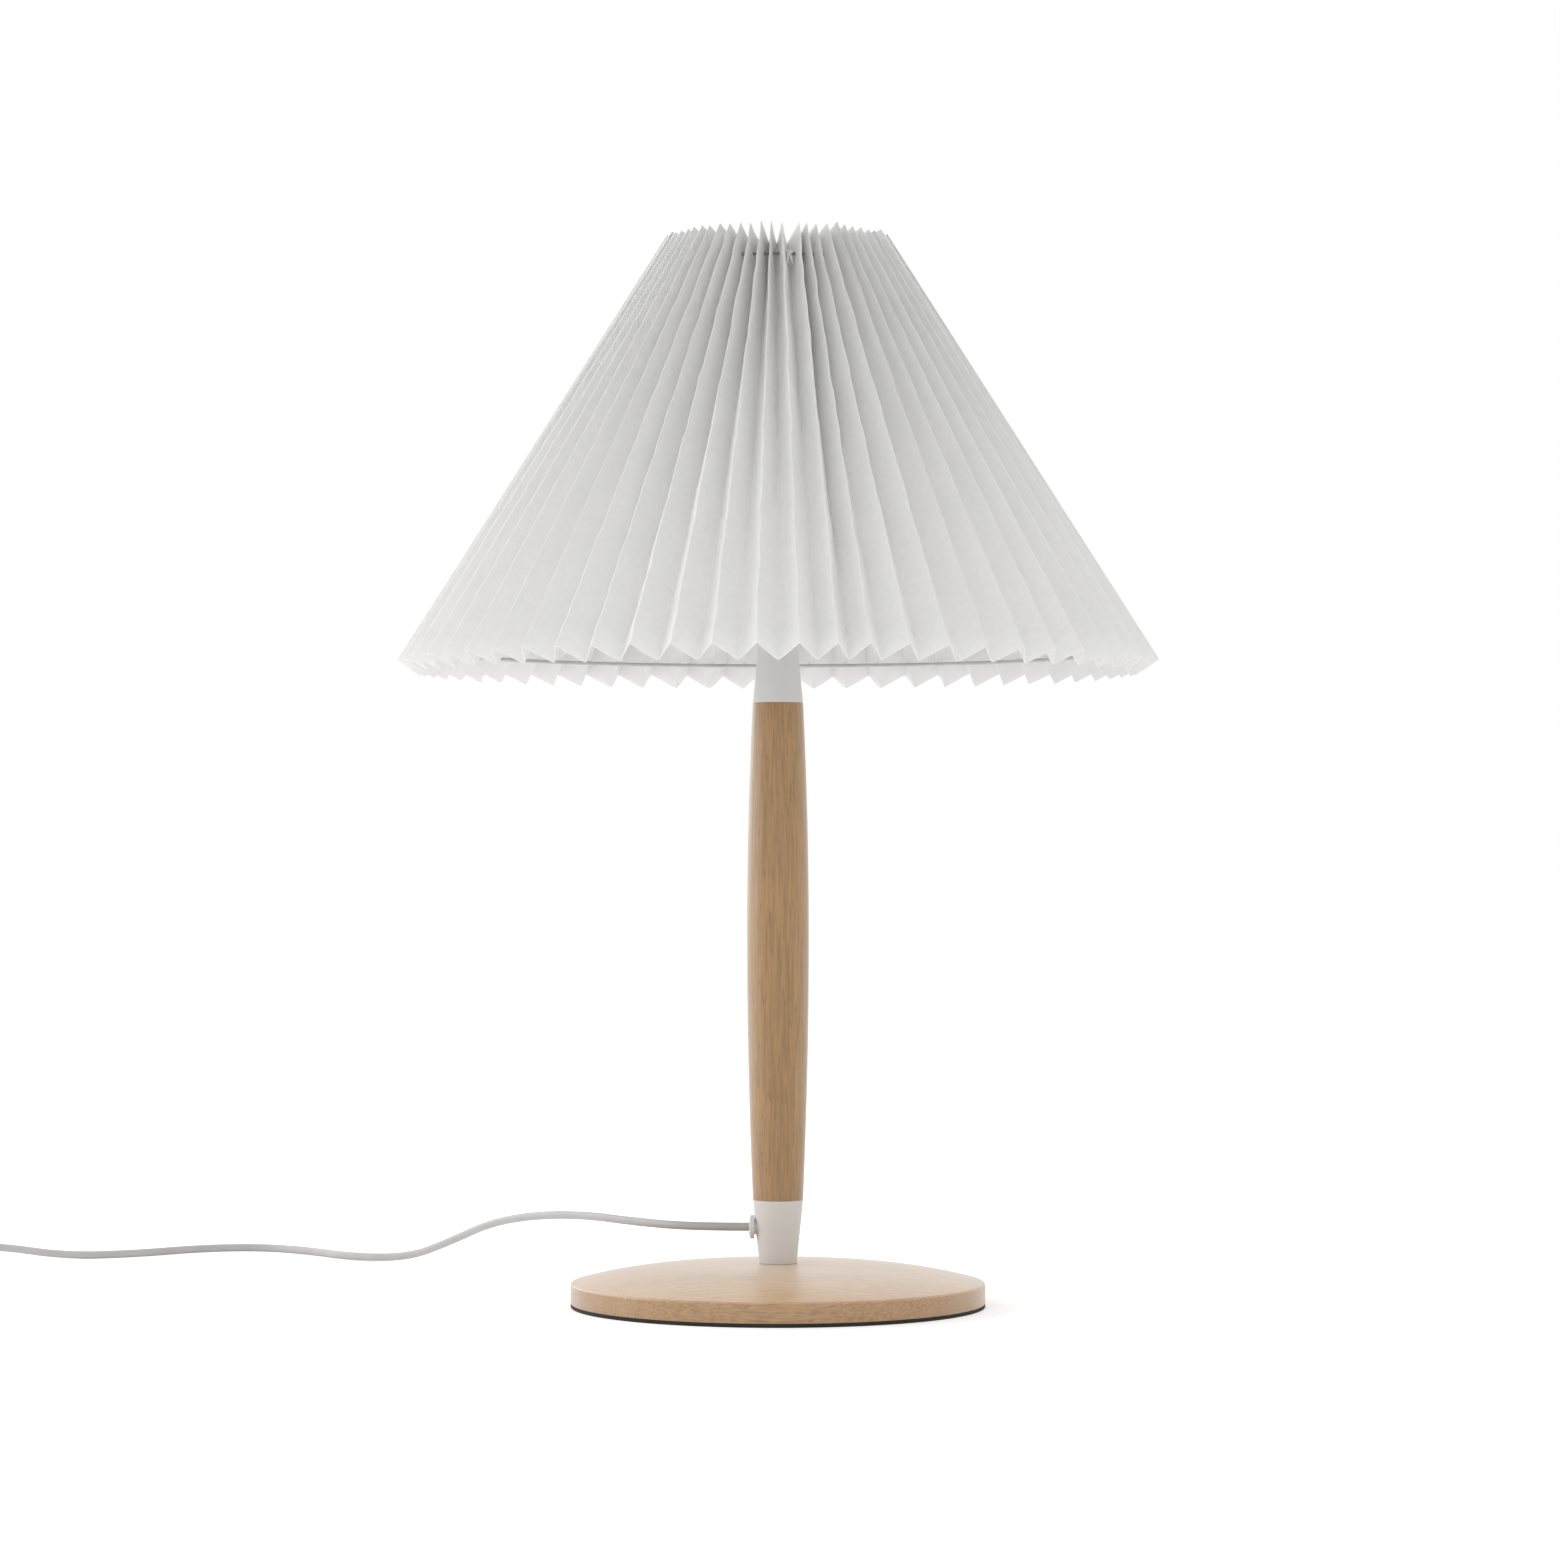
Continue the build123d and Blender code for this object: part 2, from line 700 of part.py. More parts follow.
def switch_rocker():
    """The rocker, tipped to off: a shallow V on top, a rounded belly and a pin through its middle."""
    end = rocker_length / 2
    side = rocker_rise - 2 * rocker_dip
    dip = rocker_rise - rocker_dip
    top = Polyline((end, side), (end, rocker_rise), (0, dip), (-end, rocker_rise), (-end, side))
    belly = ThreePointArc((-end, side), (0, -rocker_belly), (end, side))
    body = extrude(Plane.XZ * make_face(top + belly), rocker_width / 2, both=True)
    pin = Rot(90, 0, 0) * Cylinder(pivot_diameter / 2, pivot_length)
    return switch_at * Pos(0, 0, rocker_pivot_height) * Rot(0, rocker_angle, 0) * (body + pin)


# ---- Cord pieces ----
def cord_run():
    return flex(cord_route, cord_diameter)


def cord_link():
    return flex(link_route, cord_diameter)


def cord_coil():
    """The coiled length's outer shape: a rounded ring two turns high, with a short end at each side."""
    inner = coil_inner_radius - cord_diameter / 2 + coil_inset
    outer = coil_outer_radius + cord_diameter / 2 - coil_inset
    height = cord_diameter + coil_pitch
    corner = cord_diameter / 2 - 2 * coil_inset
    section = RectangleRounded(outer - inner, height - 2 * coil_inset, corner)
    section = Pos((inner + outer) / 2, height / 2) * section
    body = revolve(Plane.XZ * section, Axis.Z)
    body = Pos(coil_x, coil_y, 0) * body
    inward = bar((coil_x + coil_stub, switch_y, cord_diameter / 2), (coil_x, switch_y, cord_diameter / 2),
                 cord_diameter)
    top_turn = height - cord_diameter / 2
    outward = bar((plug_x, coil_y, top_turn), (plug_x, coil_y - coil_stub, top_turn), cord_diameter)
    return body + inward + outward


def cord_tail():
    return flex(tail_route, cord_diameter)


def plug_body():
    """A flat moulded plug, narrower at the rear, with a tapered strain relief round the cord."""
    wide = plug_width / 2
    narrow = plug_rear_width / 2
    waist = plug_face + plug_length / 2
    outline = Polyline((-wide, plug_face), (wide, plug_face), (wide, waist), (narrow, plug_rear),
                       (-narrow, plug_rear), (-wide, waist), close=True)
    body = extrude(make_face(outline), plug_thickness)
    sides = body.edges().filter_by(Axis.Z)
    body = fillet(sides, plug_round)
    body = fillet(body.edges().group_by(Axis.Z)[-1] + body.edges().group_by(Axis.Z)[0], plug_round / 2)
    relief = Cone(plug_relief_diameter / 2, plug_relief_tip / 2, plug_relief_length + plug_relief_root,
                  align=from_base)
    body += Pos(0, plug_rear - plug_relief_root, plug_thickness / 2) * Rot(-90, 0, 0) * relief
    return Pos(plug_x, 0, 0) * body


def plug_pins():
    pins = []
    for side in (-1, 1):
        pin = Cylinder(pin_diameter / 2, pin_length, align=from_base)
        pin = chamfer(pin.edges().sort_by(Axis.Z)[0], pin_tip)
        place = Pos(plug_x + side * pin_spacing / 2, plug_face - pin_length, plug_thickness / 2)
        pins.append(place * Rot(-90, 0, 0) * pin)
    return pins


# ---- One file for each piece ----
pieces = [
    base_pad, base_disc, ballast_disc, base_nipple, base_washer, base_nut, lower_collar, cord_gland, stem,
    stem_tube, upper_collar, holder_cap, holder_shell, holder_insert, screw_shell, centre_contact,
    wire_terminals, supply_cores, pleated_shade, gather_string, top_ring, bottom_ring, frame_struts,
    fitter_ring, fitter_spokes, shade_ring, bulb_contact, bulb_cap, bulb_housing, bulb_globe, cord_run,
    switch_base, switch_cover, switch_screws, switch_rocker, cord_link, cord_coil, cord_tail, plug_body,
    plug_pins,
]

os.makedirs("parts", exist_ok=True)
for piece in pieces:
    made = piece()
    shape = Compound(children=made) if isinstance(made, list) else made
    export_step(shape, "parts/" + piece.__name__ + ".step")
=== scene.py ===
"""Pleated paper table lamp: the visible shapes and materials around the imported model.

Metres, +Z up, the lamp is seen from -Y and its cord leaves towards -X.
"""
from math import cos, pi, radians, sin, sqrt, tan

import bpy
import numpy as np
from bpy.props import FloatProperty, FloatVectorProperty, IntProperty, PointerProperty
from bpy.types import Operator, Panel, PropertyGroup
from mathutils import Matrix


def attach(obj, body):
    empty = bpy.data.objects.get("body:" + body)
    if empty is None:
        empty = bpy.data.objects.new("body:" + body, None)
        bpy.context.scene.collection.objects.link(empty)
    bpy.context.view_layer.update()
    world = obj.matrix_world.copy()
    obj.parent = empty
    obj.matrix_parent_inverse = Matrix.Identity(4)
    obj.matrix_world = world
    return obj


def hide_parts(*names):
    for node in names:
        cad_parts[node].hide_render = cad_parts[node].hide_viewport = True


bl_info = {
    "name": "Pleated paper table lamp",
    "version": (1, 0, 0),
    "blender": (4, 5, 0),
    "location": "View3D > Sidebar > Lamp",
    "description": "Builds a table lamp with a pleated paper shade on a turned wooden stem",
    "category": "Object",
}

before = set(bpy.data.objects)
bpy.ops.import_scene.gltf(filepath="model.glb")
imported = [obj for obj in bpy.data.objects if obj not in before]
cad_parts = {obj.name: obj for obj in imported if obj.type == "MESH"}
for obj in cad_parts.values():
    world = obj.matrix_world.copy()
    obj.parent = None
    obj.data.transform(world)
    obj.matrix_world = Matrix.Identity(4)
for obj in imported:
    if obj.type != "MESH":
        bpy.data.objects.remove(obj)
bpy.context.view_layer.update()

# The cord's route, from its seat in the gland to the inline switch.
CORD_RUN = [
    (-0.01352, 0, 0.0418), (-0.046, 0, 0.0418), (-0.079, 0.043, 0.0412), (-0.105, 0.091, 0.0406),
    (-0.135, 0.138, 0.0368), (-0.163, 0.180, 0.0290), (-0.188, 0.214, 0.0156), (-0.214, 0.241, 0.0040),
    (-0.247, 0.262, 0.0022), (-0.283, 0.309, 0.0022), (-0.314, 0.329, 0.0022), (-0.347, 0.319, 0.0022),
    (-0.378, 0.286, 0.0022), (-0.418, 0.270, 0.0022), (-0.458, 0.283, 0.0065), (-0.484, 0.283, 0.0065),
]
# Through the switch and on to the coil.
CORD_LINK = [
    (-0.514, 0.283, 0.0065), (-0.544, 0.283, 0.0065), (-0.560, 0.283, 0.0065), (-0.585, 0.283, 0.0022),
    (-0.608, 0.283, 0.0022),
]
# From the coil to the plug.
CORD_TAIL = [
    (-0.6635, 0.2275, 0.0067), (-0.6635, 0.209, 0.0067), (-0.6655, 0.184, 0.0023), (-0.6645, 0.162, 0.0024),
    (-0.6635, 0.142, 0.00685), (-0.6635, 0.128, 0.00685), (-0.6635, 0.118, 0.00685),
]
# Segments round turned pieces, from the widest to the slimmest.
BASE_ROUND, AXIS_ROUND, STEM_ROUND, GLAND_ROUND = 192, 128, 96, 64
SHARP = radians(35)         # edges that turn more than this are shaded as edges
PAPER_SHARP = radians(60)   # the same for the paper, whose faces bulge a little
ARRIS = 0.0003              # rounding of a worked edge, metres
MOULDED_EDGE = 0.0004       # rounding of a moulded edge, metres
THREAD_DEPTH = 0.0011       # depth of the lampholder's and the bulb's threads, metres
WELD_HALF = 0.005585        # half the length of a ring's butt weld, metres
SEED = 60                   # of the shade's small offsets

# The camera, in pixels of the picture: its side, the focal length and the centre's offset.
PICTURE_SIDE, FOCAL_LENGTH, OFFSET_X, OFFSET_Y = 1561, 4460, 2, 74.5
WORLD_LIGHT = 0.77          # of the surroundings on the lamp, where the camera sees 1
FLOOR_GLOW, FLOOR_SEEN = 0.21, 0.36     # the floor's light on the lamp and for the camera


def metres(value, label, note):
    """A property that holds a length in metres."""
    return FloatProperty(name=label, description=note, default=value, unit="LENGTH", subtype="DISTANCE",
                         precision=5)


def tone(value, label, note):
    """A property that holds a colour."""
    return FloatVectorProperty(name=label, description=note, default=value, subtype="COLOR", min=0.0, max=1.0)


class LampColours(PropertyGroup):
    """The colours that are seen; each surface varies between its light and its dark one."""
    base_light: tone((0.74, 0.48, 0.255), "Base, light", "Light figure of the base's wood")
    base_dark: tone((0.64, 0.39, 0.185), "Base, dark", "Dark figure of the base's wood")
    stem_light: tone((0.465, 0.27, 0.104), "Stem, light", "Light figure of the stem's wood")
    stem_dark: tone((0.352, 0.189, 0.06), "Stem, dark", "Dark figure of the stem's wood")
    collar_light: tone((0.755, 0.745, 0.725), "Collars, light", "Light tone of the collars' paint")
    collar_dark: tone((0.725, 0.715, 0.695), "Collars, dark", "Dark tone of the collars' paint")
    cord_light: tone((0.48, 0.472, 0.467), "Cord, light", "Light tone of the cord's jacket")
    cord_dark: tone((0.43, 0.422, 0.418), "Cord, dark", "Dark tone of the cord's jacket")
    paper_light: tone((0.815, 0.815, 0.809), "Paper, light", "Light tone of the shade's paper")
    paper_dark: tone((0.77, 0.77, 0.762), "Paper, dark", "Dark tone of the shade's paper")
    paper_tint: tone((0.80, 0.787, 0.767), "Paper, tint", "Warm tint in patches of the paper")
    # The gather string's dark grey tones are painted shade: the shadow of the grooves it runs in.
    string_light: tone((0.30, 0.29, 0.27), "String, light", "Light tone of the gather string")
    string_dark: tone((0.20, 0.19, 0.18), "String, dark", "Dark tone of the gather string")


class LampBaseSizes(PropertyGroup):
    """The base's and the pad's sizes."""
    radius: metres(0.109, "Radius", "Radius of the wooden base")
    pad: metres(0.002, "Pad", "Thickness of the foam pad")
    ridge: metres(0.0126, "Ridge", "Height of the edge between the side wall and the dome")
    top: metres(0.0226, "Top", "Height of the dome's top")
    edge_round: metres(0.0012, "Edge round", "Rounding of the upper edge")
    land: metres(0.012, "Land", "Radius of the flat spot under the collar")
    recess: metres(0.072, "Recess radius", "Radius of the recess for the ballast")
    recess_top: metres(0.0115, "Recess top", "Height of the recess's ceiling")
    bore: metres(0.0051, "Bore", "Radius of the rod's hole")


class LampStemSizes(PropertyGroup):
    """The stem's and the collars' sizes."""
    bottom: metres(0.0561, "Bottom", "Height of the stem's lower end")
    top: metres(0.3174, "Top", "Height of the stem's upper end")
    end_radius: metres(0.01325, "End radius", "Radius at both ends")
    widest_radius: metres(0.01625, "Widest radius", "Radius at the widest place")
    widest: metres(0.195, "Widest height", "Height of the widest place")
    bore: metres(0.0054, "Bore", "Radius of the rod's hole")
    collar: metres(0.0335, "Collar", "Height of each collar")
    collar_small: metres(0.0099, "Collar's small radius", "Radius at the collar's small end")
    collar_round: metres(0.0004, "Collar's round", "Rounding of the collar's edges")


class LampCordSizes(PropertyGroup):
    """The cord's sizes and its coil."""
    diameter: metres(0.0044, "Diameter", "Diameter of the cord")
    length: metres(1.81, "Length", "Length of the whole cord")
    exit: FloatVectorProperty(name="Exit", description="Where the cord leaves the gland",
                              default=(-0.01532, 0, 0.0418), unit="LENGTH", subtype="TRANSLATION")
    coil_centre: FloatVectorProperty(name="Coil centre", description="Centre of the coil on the table",
                                     default=(-0.634, 0.2535, 0), unit="LENGTH", subtype="TRANSLATION")
    coil_inner: metres(0.01544, "Coil's inner radius", "Radius of the innermost turn")
    coil_pitch: metres(0.0045, "Coil pitch", "Distance between neighbouring turns")
    coil_turns: FloatProperty(name="Turns", description="Turns in each of the coil's two layers", default=3.125)
    coil_points: IntProperty(name="Points", description="Control points for each turn", default=16)


class LampFittingSizes(PropertyGroup):
    """Sizes of the lampholder's shell, the bulb's cap and the cord gland."""
    shell_radius: metres(0.0198, "Shell radius", "Outer radius of the lampholder's shell")
    shell_bottom: metres(0.3749, "Shell bottom", "Height of the shell's lower end")
    shell_top: metres(0.4114, "Shell top", "Height of the shell's mouth")
    shoulder_radius: metres(0.023, "Shoulder radius", "Radius of the shoulder that carries the shade")
    shoulder: metres(0.0025, "Shoulder", "Thickness of the shoulder")
    wall_radius: metres(0.018, "Wall radius", "Inner radius of the shell")
    mouth_radius: metres(0.0158, "Mouth radius", "Radius of the opening in the shell's lip")
    lip: metres(0.002, "Lip", "Thickness of the shell's lip")
    shell_pitch: metres(0.0025, "Shell's pitch", "Pitch of the shell's outer thread")
    cap_bottom: metres(0.3847, "Cap bottom", "Height of the bulb cap's lower end")
    cap_radius: metres(0.0131, "Cap radius", "Radius of the bulb cap over its thread")
    cap_shoulder: metres(0.0046, "Cap shoulder", "Height of the bulb cap's tapered end")
    cap_length: metres(0.022, "Cap length", "Length of the bulb cap")
    cap_wall: metres(0.0006, "Cap wall", "Thickness of the bulb cap's metal")
    cap_pitch: metres(0.003629, "Cap's pitch", "Pitch of the bulb's thread")
    contact_radius: metres(0.0047, "Contact radius", "Radius of the bulb's contact")
    gland_radius: metres(0.0062, "Gland radius", "Radius of the cord gland's flange")
    gland_back: metres(0.01252, "Gland back", "Distance of the flange's back from the lamp's axis")
    gland_front: metres(0.01532, "Gland front", "Distance of the flange's front from the lamp's axis")
    gland_dome: metres(0.001, "Gland dome", "Rise of the flange's domed front")
    gland_seat: metres(0.0018, "Gland seat", "Depth of the recess that the cord sits in")
    gland_thread: metres(0.004, "Gland thread", "Radius of the gland's threaded neck")
    gland_neck: metres(0.0064, "Gland neck", "Length of the threaded neck")
    gland_bore: metres(0.00235, "Gland bore", "Radius of the recess that the cord sits in")
    gland_core: metres(0.002, "Gland core", "Radius of the hole through the neck")


class LampShadeSizes(PropertyGroup):
    """Sizes of the shade, its string and its wire rings."""
    pleats: IntProperty(name="Pleats", description="Number of pleats", default=60)
    radius: metres(0.2, "Radius", "Radius of the ridge folds at the lower edge")
    edge: metres(0.3395, "Edge height", "Height of the ridge folds' lower ends")
    slope: FloatProperty(name="Slope", description="Slope of the ridge folds from the vertical",
                         default=radians(32.4), unit="ROTATION", subtype="ANGLE")
    fold: metres(0.2638, "Fold length", "Length of a fold")
    face: metres(0.0178, "Face", "Width of one face of a pleat")
    paper: metres(0.0003, "Paper", "Thickness of the paper")
    string_radius: metres(0.058, "String radius", "Radius of the gather string's circle")
    string_height: metres(0.5462, "String height", "Height of the gather string")
    string: metres(0.0018, "String", "Diameter of the gather string")
    string_lay: metres(0.0042, "String's lay", "Length of one twist of the gather string")
    wire: metres(0.002, "Wire", "Diameter of the frame's wires")
    bottom_ring: metres(0.1773, "Bottom ring", "Radius of the frame's bottom ring")
    bottom_height: metres(0.3444, "Bottom ring height", "Height of the frame's bottom ring")
    top_ring: metres(0.0484, "Top ring", "Radius of the frame's top ring")
    top_height: metres(0.541, "Top ring height", "Height of the frame's top ring")


# ---- Surfaces ----
def closed_rows(count, columns, start, wrap_rows):
    """Quads between neighbouring rows of a grid that closes round its columns."""
    rows = np.arange(count if wrap_rows else count - 1)
    row, column = np.meshgrid(rows, np.arange(columns), indexing="ij")
    after, beside = (row + 1) % count, (column + 1) % columns
    corners = [row * columns + column, row * columns + beside,
               after * columns + beside, after * columns + column]
    return np.stack(corners, -1).reshape(-1, 4) + start


def surface(name, grids, material, body, replaces=(), sharp=SHARP):
    """One object from several closed grids: each is (points, wrap_rows).

    Points is an array of rows, columns and xyz. A grid that wraps both ways is a ring; any other is closed with
    a fan of triangles at each end, about the middle of its first and its last row.
    """
    points, quads, fans, start = [], [], [], 0
    for grid, wrap_rows in grids:
        rows, columns = grid.shape[:2]
        points.append(grid.reshape(-1, 3))
        quads.append(closed_rows(rows, columns, start, wrap_rows))
        used = rows * columns
        if not wrap_rows:
            points.append(np.array([grid[0].mean(0), grid[-1].mean(0)]))
            first = start + np.arange(columns)
            last = first + (rows - 1) * columns
            low, high = np.full(columns, start + used), np.full(columns, start + used + 1)
            fans.append(np.stack([np.roll(first, -1), first, low], -1))
            fans.append(np.stack([last, np.roll(last, -1), high], -1))
            used += 2
        start += used
    points = np.concatenate(points)
    quads = np.concatenate(quads)
    fans = np.concatenate(fans) if fans else np.zeros((0, 3), int)
    mesh = bpy.data.meshes.new(name)
    mesh.from_pydata(points.tolist(), [], quads.tolist() + fans.tolist())
    mesh.validate()
    mesh.polygons.foreach_set("use_smooth", np.ones(len(mesh.polygons), bool))
    mesh.set_sharp_from_angle(angle=sharp)
    mesh.materials.append(material)
    piece = bpy.data.objects.new(name, mesh)
    bpy.context.scene.collection.objects.link(piece)
    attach(piece, body)
    if replaces:
        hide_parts(*replaces)


def rounded(outline, steps=4):
    """An outline's (radius, height, round) corners as points, with an arc of that round at each corner.

    The arc leaves each side at round * tan(turn / 2) from the corner and follows
    centre + round * (cos, sin). A further point beside each end of it keeps the flat sides' shading flat.
    """
    points = []
    count = len(outline)
    for number, (radius, height, size) in enumerate(outline):
        corner = np.array([radius, height])
        if not size:
            points.append(corner)
            continue
        before = np.array(outline[number - 1][:2]) - corner
        after = np.array(outline[(number + 1) % count][:2]) - corner
        before, after = before / np.linalg.norm(before), after / np.linalg.norm(after)
        half = np.arccos(np.clip(before @ after, -1, 1)) / 2
        reach = size / tan(half)
        middle = (before + after) / np.linalg.norm(before + after)
        centre = corner + middle * size / sin(half)
        start, end = corner + before * reach, corner + after * reach
        points.append(corner + before * reach * 1.3)
        for share in np.linspace(0, 1, steps + 1):
            spot = start * (1 - share) + end * share - centre
            points.append(centre + spot / np.linalg.norm(spot) * size)
        points.append(corner + after * reach * 1.3)
    return points


def lathe(profile, segments=AXIS_ROUND):
    """A profile of (radius, height) spun round Z: (r cos a, r sin a, z)."""
    profile = np.array(profile)
    angle = np.linspace(0, 2 * pi, segments, endpoint=False)
    grid = np.empty((len(profile), segments, 3))
    grid[..., 0] = profile[:, :1] * np.cos(angle)
    grid[..., 1] = profile[:, :1] * np.sin(angle)
    grid[..., 2] = profile[:, 1:]
    return grid


def threaded(grid, low, high, pitch, depth, fade):
    """Cuts a round thread: r - depth (1 - cos(2 pi (z / pitch - a / 2 pi))) / 2, fading at both ends."""
    angle = np.arctan2(grid[..., 1], grid[..., 0])
    height = grid[..., 2]
    share = np.clip(np.minimum(height - low, high - height) / fade, 0, 1)
    cut = depth * share * (1 - np.cos(2 * pi * height / pitch - angle)) / 2
    radius = np.hypot(grid[..., 0], grid[..., 1])
    grid[..., :2] *= ((radius - cut) / radius)[..., None]
    return grid


def wire_grid(path, radius, closed, sides=12, across=(0.0, 0.0, 1.0)):
    """A round wire along a path: p + radius (cos b u + sin b v), with u and v square to the path.

    U is square to the path and to the direction across, which the path never runs along.
    """
    path = np.array(path, float)
    if closed:
        along = np.roll(path, -1, 0) - np.roll(path, 1, 0)
    else:
        along = np.gradient(path, axis=0)
    along /= np.linalg.norm(along, axis=1, keepdims=True)
    side = np.cross(along, across)
    side /= np.linalg.norm(side, axis=1, keepdims=True)
    up = np.cross(side, along)
    turn = np.linspace(0, 2 * pi, sides, endpoint=False)
    radius = np.broadcast_to(radius, len(path))[:, None, None]
    offset = np.cos(turn)[None, :, None] * side[:, None] + np.sin(turn)[None, :, None] * up[:, None]
    return path[:, None] + radius * offset


def tapered_wire(path, radius):
    """A wire along a path with rounded ends: its radius is radius * sqrt(1 - s^12), s from -1 to 1."""
    place = np.linspace(-1, 1, len(path))
    taper = np.sqrt(np.clip(1 - np.abs(place) ** 12, 0.02, 1))
    return wire_grid(path, radius * taper, False, 10, (0.0, 1.0, 0.0))


def ring_path(radius, height, count):
    """Points of a level circle: (r cos a, r sin a, z)."""
    angle = np.linspace(0, 2 * pi, count, endpoint=False)
    return np.stack([radius * np.cos(angle), radius * np.sin(angle), np.full(count, height)], -1)


# ---- Materials ----
class Finish:
    """A Principled material whose nodes read the object's own coordinates."""

    def __init__(self, name, **sockets):
        self.material = bpy.data.materials.new(name)
        self.material.use_nodes = True
        self.tree = self.material.node_tree
        self.shader = self.tree.nodes["Principled BSDF"]
        for socket, value in sockets.items():
            self.shader.inputs[socket.replace("_", " ")].default_value = value
        self.place = self.add("ShaderNodeTexCoord").outputs["Object"]

    def add(self, kind, links=(), **settings):
        """A new node with its settings, its sockets linked or set."""
        node = self.tree.nodes.new(kind)
        for key, value in settings.items():
            setattr(node, key, value)
        for socket, value in dict(links).items():
            self.put(node.inputs[socket], value)
        return node

    def put(self, socket, value):
        """Links a socket to another one, or sets it to a value."""
        if isinstance(value, bpy.types.NodeSocket):
            self.tree.links.new(value, socket)
        else:
            socket.default_value = value

    def stretched(self, scale):
        """The object's coordinates, scaled along each axis."""
        return self.add("ShaderNodeMapping", {"Vector": self.place, "Scale": scale}).outputs["Vector"]

    def noise(self, scale, detail=4.0, rough=0.55, stretch=None, distortion=0.0):
        """Noise on the object's coordinates, stretched along them if asked."""
        place = self.stretched(stretch) if stretch else self.place
        settings = {"Vector": place, "Scale": scale, "Detail": detail, "Roughness": rough,
                    "Distortion": distortion}
        return self.add("ShaderNodeTexNoise", settings).outputs["Fac"]

    def ramp(self, value, *stops):
        """Blends between (place, colour) stops."""
        node = self.add("ShaderNodeValToRGB", {"Fac": value})
        ramp = node.color_ramp
        while len(ramp.elements) < len(stops):
            ramp.elements.new(0.5)
        for element, (place, colour) in zip(ramp.elements, stops):
            element.position = place
            element.color = (*colour, 1) if hasattr(colour, "__len__") else (colour, colour, colour, 1)
        return node.outputs["Color"]

    def spread(self, value, low, high, start=0.3, stop=0.7):
        """Maps a value between start and stop onto the range from low to high."""
        settings = {"Value": value, "From Min": start, "From Max": stop, "To Min": low, "To Max": high}
        return self.add("ShaderNodeMapRange", settings).outputs["Result"]

    def mix(self, share, first, second, blend="MIX"):
        """Blends two colours by a share."""
        node = self.add("ShaderNodeMix", data_type="RGBA", blend_type=blend)
        for number, value in ((0, share), (6, first), (7, second)):
            self.put(node.inputs[number], value)
        return node.outputs[2]

    def bump(self, height, depth, strength=1.0, before=None):
        """Adds relief; depth is the height in metres of a change from 0 to 1."""
        settings = {"Height": height, "Distance": depth, "Strength": strength}
        if before:
            settings["Normal"] = before
        return self.add("ShaderNodeBump", settings).outputs["Normal"]

    def finish(self, colour, roughness, normal):
        """Links the shader and gives the material."""
        for socket, value in (("Base Color", colour), ("Roughness", roughness), ("Normal", normal)):
            self.put(self.shader.inputs[socket], value)
        return self.material


def plain_finish(name, light, dark, patch, roughness, grain, relief, **sockets):
    """A moulded, coated or metal surface: broad mottling, fine grain and slightly uneven gloss."""
    skin = Finish(name, **sockets)
    broad = skin.noise(patch, 3.0)
    fine = skin.noise(grain, 3.0, 0.6)
    colour = skin.ramp(broad, (0.3, dark), (0.7, light))
    gloss = skin.spread(fine, roughness - 0.05, roughness + 0.05)
    return skin.finish(colour, gloss, skin.bump(fine, relief))


def wood_finish(name, grain_axis, light, dark, rim=0.0):
    """Turned hardwood: broad figure, fine fibres and short pores, all drawn out along the grain.

    Below the height rim, on the turned side, the wood is painted darker: painted shade that leaves the lit dome
    lighter than the side.
    """
    def drawn(ratio):
        return tuple(ratio if axis == grain_axis else 1.0 for axis in range(3))

    wood = Finish(name, Coat_Weight=0.8, Coat_Roughness=0.3, Coat_IOR=1.55,
                  Sheen_Weight=0.35, Sheen_Roughness=0.35)
    figure = wood.noise(34.0, 3.0, 0.5, drawn(0.09), 0.6)
    bands = wood.noise(150.0, 2.0, 0.5, drawn(0.04), 0.4)
    fibres = wood.noise(900.0, 4.0, 0.65, drawn(0.035))
    pores = wood.noise(850.0, 2.0, 0.5, drawn(0.1), 0.3)
    patches = wood.noise(22.0, 2.0, 0.5, drawn(0.5))
    between = tuple((a + b) / 2 for a, b in zip(light, dark))
    colour = wood.ramp(figure, (0.32, dark), (0.5, between), (0.68, light))
    colour = wood.mix(wood.spread(bands, 0.0, 0.35, 0.42, 0.66), colour, (*dark, 1))
    pink = (light[0] * 1.03, light[1] * 0.93, light[2] * 0.9, 1)
    colour = wood.mix(wood.spread(patches, 0.0, 0.4, 0.5, 0.75), colour, pink)
    colour = wood.mix(0.8, colour, wood.ramp(fibres, (0.36, 0.7), (0.6, 1.08)), "MULTIPLY")
    streak = (dark[0] * 0.55, dark[1] * 0.5, dark[2] * 0.42, 1)
    colour = wood.mix(wood.spread(pores, 0.0, 0.55, 0.6, 0.7), colour, streak)
    # Painted shade: below the rim height the wood is multiplied darker, so the side reads darker than the lit
    # dome.
    if rim:
        height = wood.add("ShaderNodeSeparateXYZ", {"Vector": wood.place}).outputs["Z"]
        edge = wood.spread(height, 1.0, 0.0, rim - 0.0012, rim + 0.0002)
        colour = wood.mix(edge, colour, (0.66, 0.61, 0.54, 1), "MULTIPLY")
    relief = wood.bump(fibres, 0.00002)
    relief = wood.bump(wood.ramp(pores, (0.6, 1.0), (0.72, 0.0)), 0.00003, 0.6, relief)
    return wood.finish(colour, wood.spread(fibres, 0.36, 0.5), relief)


